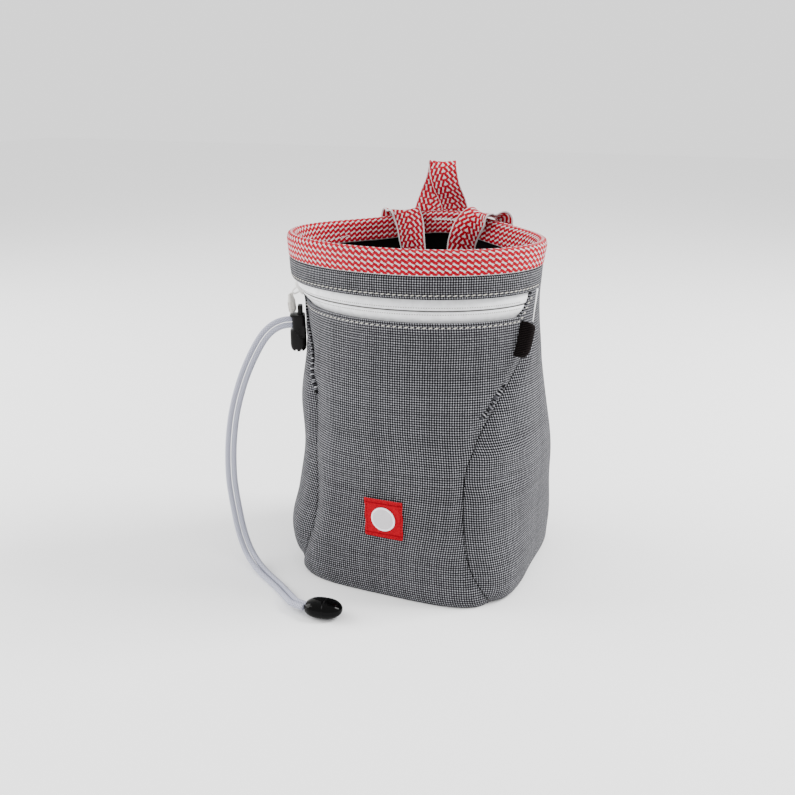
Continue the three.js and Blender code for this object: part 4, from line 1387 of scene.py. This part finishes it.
# cuts and ribs of the lock on its seat: out, along from its side, up, then the size of each
lockMarks = {
    "slotsOut": (2.55, 5.15),
    "slotSize": (0.95, 12, 2.2),
    "window": ((1.9, 0.1, 10.3), (2.9, 1.5, 6.6)),
    "ridge": ((4.35, -0.05, 9.6), (2.4, 0.7, 0.55), -0.75),
    "shelf": ((2.9, -0.55, 7.5), (2.2, 0.9, 0.6), 0.25),
    "buttonGrooves": (1.2, 2.2),
}
lockBottom = levels["zipMiddle"] - hardware["lockDrop"]
lockSeat = seatAt(hardware["turn"], lockBottom)
zipSeat = seatAt(hardware["turn"], levels["zipMiddle"])
sliderSeat = seatAt(hardware["turn"], levels["zipMiddle"], hardware["sliderWidth"] / 2)


def seatPoint(seat, out, along, up):
    origin, outward, sideways, upward = seat
    return (origin + outward * np.asarray(out)[..., None] + sideways * np.asarray(along)[..., None]
            + upward * np.asarray(up)[..., None])


def roundedSections(name, seat, rows, power=4.0, around=48):
    # rows hold the place up the seat, the nearer and farther side and the half width, in mm
    angle = np.linspace(0, 2 * math.pi, around + 1)[None, :]
    first, second = squaredRound(angle, power)
    rows = np.array(rows, float)
    up, low, high, half = (rows[:, [k]] for k in range(4))
    points = seatPoint(seat, (low + high) / 2 + first * (high - low) / 2, second * half,
                       up + 0 * first)
    return closedGrid(name, points, pairUp(up, second * half), loopAlong=True)


def boxAt(seat, middle, size, tilt=0.0):  # a box on a seat; middle and size are out, along, up
    bpy.ops.object.select_all(action="DESELECT")
    bpy.ops.mesh.primitive_cube_add(size=1)
    box = bpy.context.object
    place = seatPoint(seat, *middle) * mm
    axes = [Vector(seat[k]) for k in (1, 2, 3)]
    turn = Matrix([(axes[0][k], axes[1][k], axes[2][k]) for k in range(3)]).to_4x4()
    turn = Matrix.Translation(place) @ turn @ Matrix.Rotation(tilt, 4, "Y")
    box.data.transform(turn @ Matrix.Diagonal((size[0] * mm, size[1] * mm, size[2] * mm, 1)))
    return box


def cutWith(piece, cutter):
    applyModifier(piece, "BOOLEAN", object=cutter, operation="DIFFERENCE", solver="EXACT")
    bpy.data.objects.remove(cutter, do_unlink=True)


def joinTo(piece, other):
    bpy.ops.object.select_all(action="DESELECT")
    piece.select_set(True)
    other.select_set(True)
    bpy.context.view_layer.objects.active = piece
    bpy.ops.object.join()


def makeLock():
    height, reach = hardware["lockHeight"], hardware["lockReach"] + 0.6
    half = hardware["lockWidth"] / 2
    inner = cloth["gap"]
    wellOuter = inner + hardware["lockWall"] + hardware["buttonReach"] + 2 * cloth["gap"]
    wellHalf = hardware["buttonWidth"] / 2 + cloth["gap"]
    wellLow = height - hardware["buttonStem"] - 2.5 - cloth["gap"]
    shares = [
        (0.0, 0.22, 0.62, 0.6), (0.012, 0.14, 0.74, 0.76), (0.04, 0.06, 0.86, 0.88),
        (0.08, -0.02, 0.94, 0.95), (0.14, -0.04, 0.985, 0.99), (0.22, -0.045, 1.0, 1.0),
        (0.4, -0.045, 1.0, 1.0), (0.555, -0.04, 1.0, 1.0), (0.585, -0.035, 0.95, 1.0),
        (0.61, -0.03, 0.86, 1.0), (0.64, -0.03, 0.85, 0.98), (0.92, 0.0, 0.85, 0.98),
        (0.945, 0.0, 0.87, 0.98), (0.955, 0.0, 0.97, 0.97), (0.97, 0.0, 1.0, 0.97),
        (0.99, 0.0, 0.99, 0.95), (1.0, 0.02, 0.94, 0.92),
    ]
    rows = [(z * height, inner + a * reach, inner + b * reach, half * w) for z, a, b, w in shares]
    rows += [(height, inner + hardware["lockWall"], wellOuter, wellHalf),
             (height - 0.3, inner + hardware["lockWall"], wellOuter, wellHalf),
             (wellLow, inner + hardware["lockWall"], wellOuter, wellHalf)]
    lock = roundedSections("cordLock", lockSeat, rows)
    for out in lockMarks["slotsOut"]:
        cutWith(lock, boxAt(lockSeat, (out, 0, 0.1), lockMarks["slotSize"]))
    (out, past, up), size = lockMarks["window"]
    cutWith(lock, boxAt(lockSeat, (out, half + past, up), size))
    for mark in ("ridge", "shelf"):
        (out, past, up), size, tilt = lockMarks[mark]
        joinTo(lock, boxAt(lockSeat, (out, half + past, up), size, tilt))
    finishPiece(lock, finishes["blackPlastic"], stands=["cord_lock"], angle=35)


def makeButton():
    low = 2 * cloth["gap"] + hardware["lockWall"]
    high = low + hardware["buttonReach"]
    half = hardware["buttonWidth"] / 2
    top = hardware["lockHeight"] + hardware["buttonTop"]
    bottom = hardware["lockHeight"] - hardware["buttonStem"]
    rows = [(bottom, low + 0.2, high - 0.2, half - 0.2), (bottom + 0.2, low, high, half)]
    rows += [(bottom + (top - 1.5 - bottom) * k, low, high, half) for k in (0.3, 0.6, 0.9, 1.0)]
    for angle in np.linspace(0.2, math.pi / 2, 7):
        inward = 1 - math.cos(angle)
        rows.append((top - 1.5 + 1.5 * math.sin(angle), low + 0.25 * inward, high - 0.4 * inward,
                     half - 1.0 * inward))
    button = roundedSections("lockButton", lockSeat, rows)
    for rise in lockMarks["buttonGrooves"]:
        cutWith(button, boxAt(lockSeat, (high, 0, hardware["lockHeight"] + rise), (0.4, 8, 0.4)))
    finishPiece(button, finishes["blackPlastic"], body="button",
                stands=["lock_button"], angle=35)


def makeSlider():
    base = -cloth["wall"]
    top = base + hardware["sliderThickness"]
    length, width = hardware["sliderLength"] / 2, hardware["sliderWidth"] / 2
    rows = []
    for out, shrink in ((base, 0.3), (base + 0.25, 0.05), (base + 0.6, 0), (top - 0.6, 0),
                        (top - 0.3, 0.12), (top - 0.1, 0.35), (top, 0.75)):
        rows.append((out, -(width - shrink), width - shrink, length - shrink))
    turned = (sliderSeat[0], sliderSeat[3], sliderSeat[2], sliderSeat[1])
    slider = roundedSections("zipSlider", turned, rows, power=3.2)
    angle = np.linspace(0, math.pi, 25)
    reach, span = hardware["crownReach"], 1.25
    arch = seatPoint(sliderSeat, top - 0.2 + (reach - 0.15) * np.sin(angle) ** 0.55,
                     0 * angle, -span * np.cos(angle))
    sides = np.array([sliderSeat[2], sliderSeat[2]])
    crown = webGrid("crown", smoothCurve(arch, 40), sides, 2.2, 0.7)
    joinTo(slider, crown)
    finishPiece(slider, finishes["whiteMetal"], stands=["zip_slider"], angle=40)


def makePull():
    lean = math.radians(hardware["pullLean"])
    down = -zipSeat[3] * math.cos(lean) + zipSeat[1] * math.sin(lean)
    wide = zipSeat[2]
    thick = np.cross(down, wide)
    thick /= np.linalg.norm(thick)
    swing = math.radians(hardware["pullTurn"])
    wide, thick = (wide * math.cos(swing) + thick * math.sin(swing),
                   thick * math.cos(swing) - wide * math.sin(swing))
    pivotOut = (-cloth["wall"] + hardware["sliderThickness"] + hardware["crownReach"]
                + cloth["gap"] + hardware["pullThickness"] * 0.3)
    pivot = seatPoint(sliderSeat, pivotOut, 0, 0)
    shares = [
        (-0.06, 0.15, 0.3), (-0.035, 0.24, 0.35), (0, 0.29, 0.37), (0.08, 0.3, 0.4),
        (0.16, 0.31, 0.42), (0.22, 0.36, 0.45), (0.3, 0.44, 0.485), (0.36, 0.48, 0.5),
        (0.45, 0.5, 0.5), (0.6, 0.5, 0.5), (0.74, 0.5, 0.5), (0.83, 0.49, 0.49),
        (0.9, 0.45, 0.455), (0.95, 0.39, 0.4), (0.985, 0.29, 0.31), (1.0, 0.18, 0.2),
    ]
    table = np.array(shares)
    along = np.linspace(-0.06, 1, 60)
    halfThick = np.interp(along, table[:, 0], table[:, 1])[:, None] * hardware["pullThickness"]
    halfWide = np.interp(along, table[:, 0], table[:, 2])[:, None] * hardware["pullWidth"]
    angle = np.linspace(0, 2 * math.pi, 97)[None, :]
    first, second = squaredRound(angle, hardware["pullSquareness"])
    share = along[:, None]
    body = smooth(share, 0.3, 0.4) * (1 - smooth(share, 0.84, 0.93))
    groove = 0.16 * body * np.cos(angle * 24) ** 8
    points = (pivot + down * (share * hardware["pullLength"])[..., None]
              + thick * (first * (halfThick - groove))[..., None]
              + wide * (second * (halfWide - groove))[..., None])
    uvs = pairUp(share * hardware["pullLength"], second * 3)
    piece = closedGrid("zipPull", points, uvs, loopAcross=True)
    finishPiece(piece, finishes["softWhite"], body="pull", stands=["zip_pull"],
                angle=50)


makeLock()
makeButton()
makeSlider()
makePull()
print("hardware made")

# cap at the cord's far end

cap = {
    "length": 17.2,
    "width": 12.4,
    "height": 8.6,
    "heading": 10.0,
    "start": 2.1,
    "parting": 0.5,
    "squareness": 2.3,
}


def makeCap():
    heading = math.radians(cap["heading"])
    forward = np.array([math.cos(heading), math.sin(heading), 0])
    across = np.array([-math.sin(heading), math.cos(heading), 0])
    start = cordRoute[-1] + forward * cap["start"]
    start[2] = cap["height"] / 2
    table = np.array([
        (-0.02, 0.4), (-0.015, 0.5), (0, 0.6), (0.04, 0.69), (0.08, 0.78),
        (0.16, 0.89), (0.25, 0.96), (0.35, 0.99), (0.45, 1.0), (0.55, 0.99), (0.65, 0.96),
        (0.75, 0.88), (0.84, 0.76), (0.9, 0.63), (0.95, 0.48), (0.98, 0.34), (0.995, 0.2),
        (1.0, 0.1),
    ])
    share = np.concatenate([np.linspace(-0.02, 0, 8), np.linspace(0.02, 0.9, 60),
                            np.linspace(0.91, 1, 18)])[:, None]
    size = np.interp(share[:, 0], table[:, 0], table[:, 1])[:, None]
    size = size * (1 - 0.035 * np.exp(-((share - cap["parting"]) / 0.012) ** 2))
    angle = np.linspace(0, 2 * math.pi, 65)[None, :]
    first, second = squaredRound(angle, cap["squareness"])
    points = (start + forward * (share * cap["length"])[..., None]
              + across * (first * size * cap["width"] / 2)[..., None]
              + np.array([0, 0, 1.0]) * (second * size * cap["height"] / 2)[..., None])
    uvs = pairUp(share * cap["length"], angle * 5)
    piece = closedGrid("cordCap", points, uvs, loopAcross=True)
    finishPiece(piece, finishes["glossBlack"], stands=["cord_end_cap"], angle=50)


makeCap()
print("cap made")

# floor, light and finishing

stageLook = {"floor": (0.95, 0.95, 0.95, 1), "world": 1.5}


def makeStage():
    bpy.ops.mesh.primitive_plane_add(size=6, location=(0, 0, 0))
    floor = bpy.context.object
    floor.name = "floor"
    finish = Finish("floorPaper")
    finish.surface(colour=stageLook["floor"], roughness=0.8, specular=0.1)
    floor.data.materials.append(finish.material)
    world = bpy.data.worlds.new("studio")
    world.use_nodes = True
    world.node_tree.nodes["Background"].inputs[0].default_value = (1, 1, 1, 1)
    world.node_tree.nodes["Background"].inputs[1].default_value = stageLook["world"]
    bpy.context.scene.world = world


lamps = {
    "key": {"place": (0.7, 0.4, 0.8), "size": 0.45, "power": 20, "aim": (0, 0, 0.08)},
    "left": {"place": (-0.9, -0.2, 0.5), "size": 0.7, "power": 13.5, "aim": (0, 0, 0.1)},
}


def makeLamps():
    for name, lamp in lamps.items():
        bpy.ops.object.light_add(type="AREA", location=lamp["place"])
        light = bpy.context.object
        light.name = name
        light.data.energy = lamp["power"]
        light.data.size = lamp["size"]
        aim = Vector(lamp["aim"]) - Vector(lamp["place"])
        light.rotation_euler = aim.to_track_quat("-Z", "Y").to_euler()


makeStage()
makeLamps()
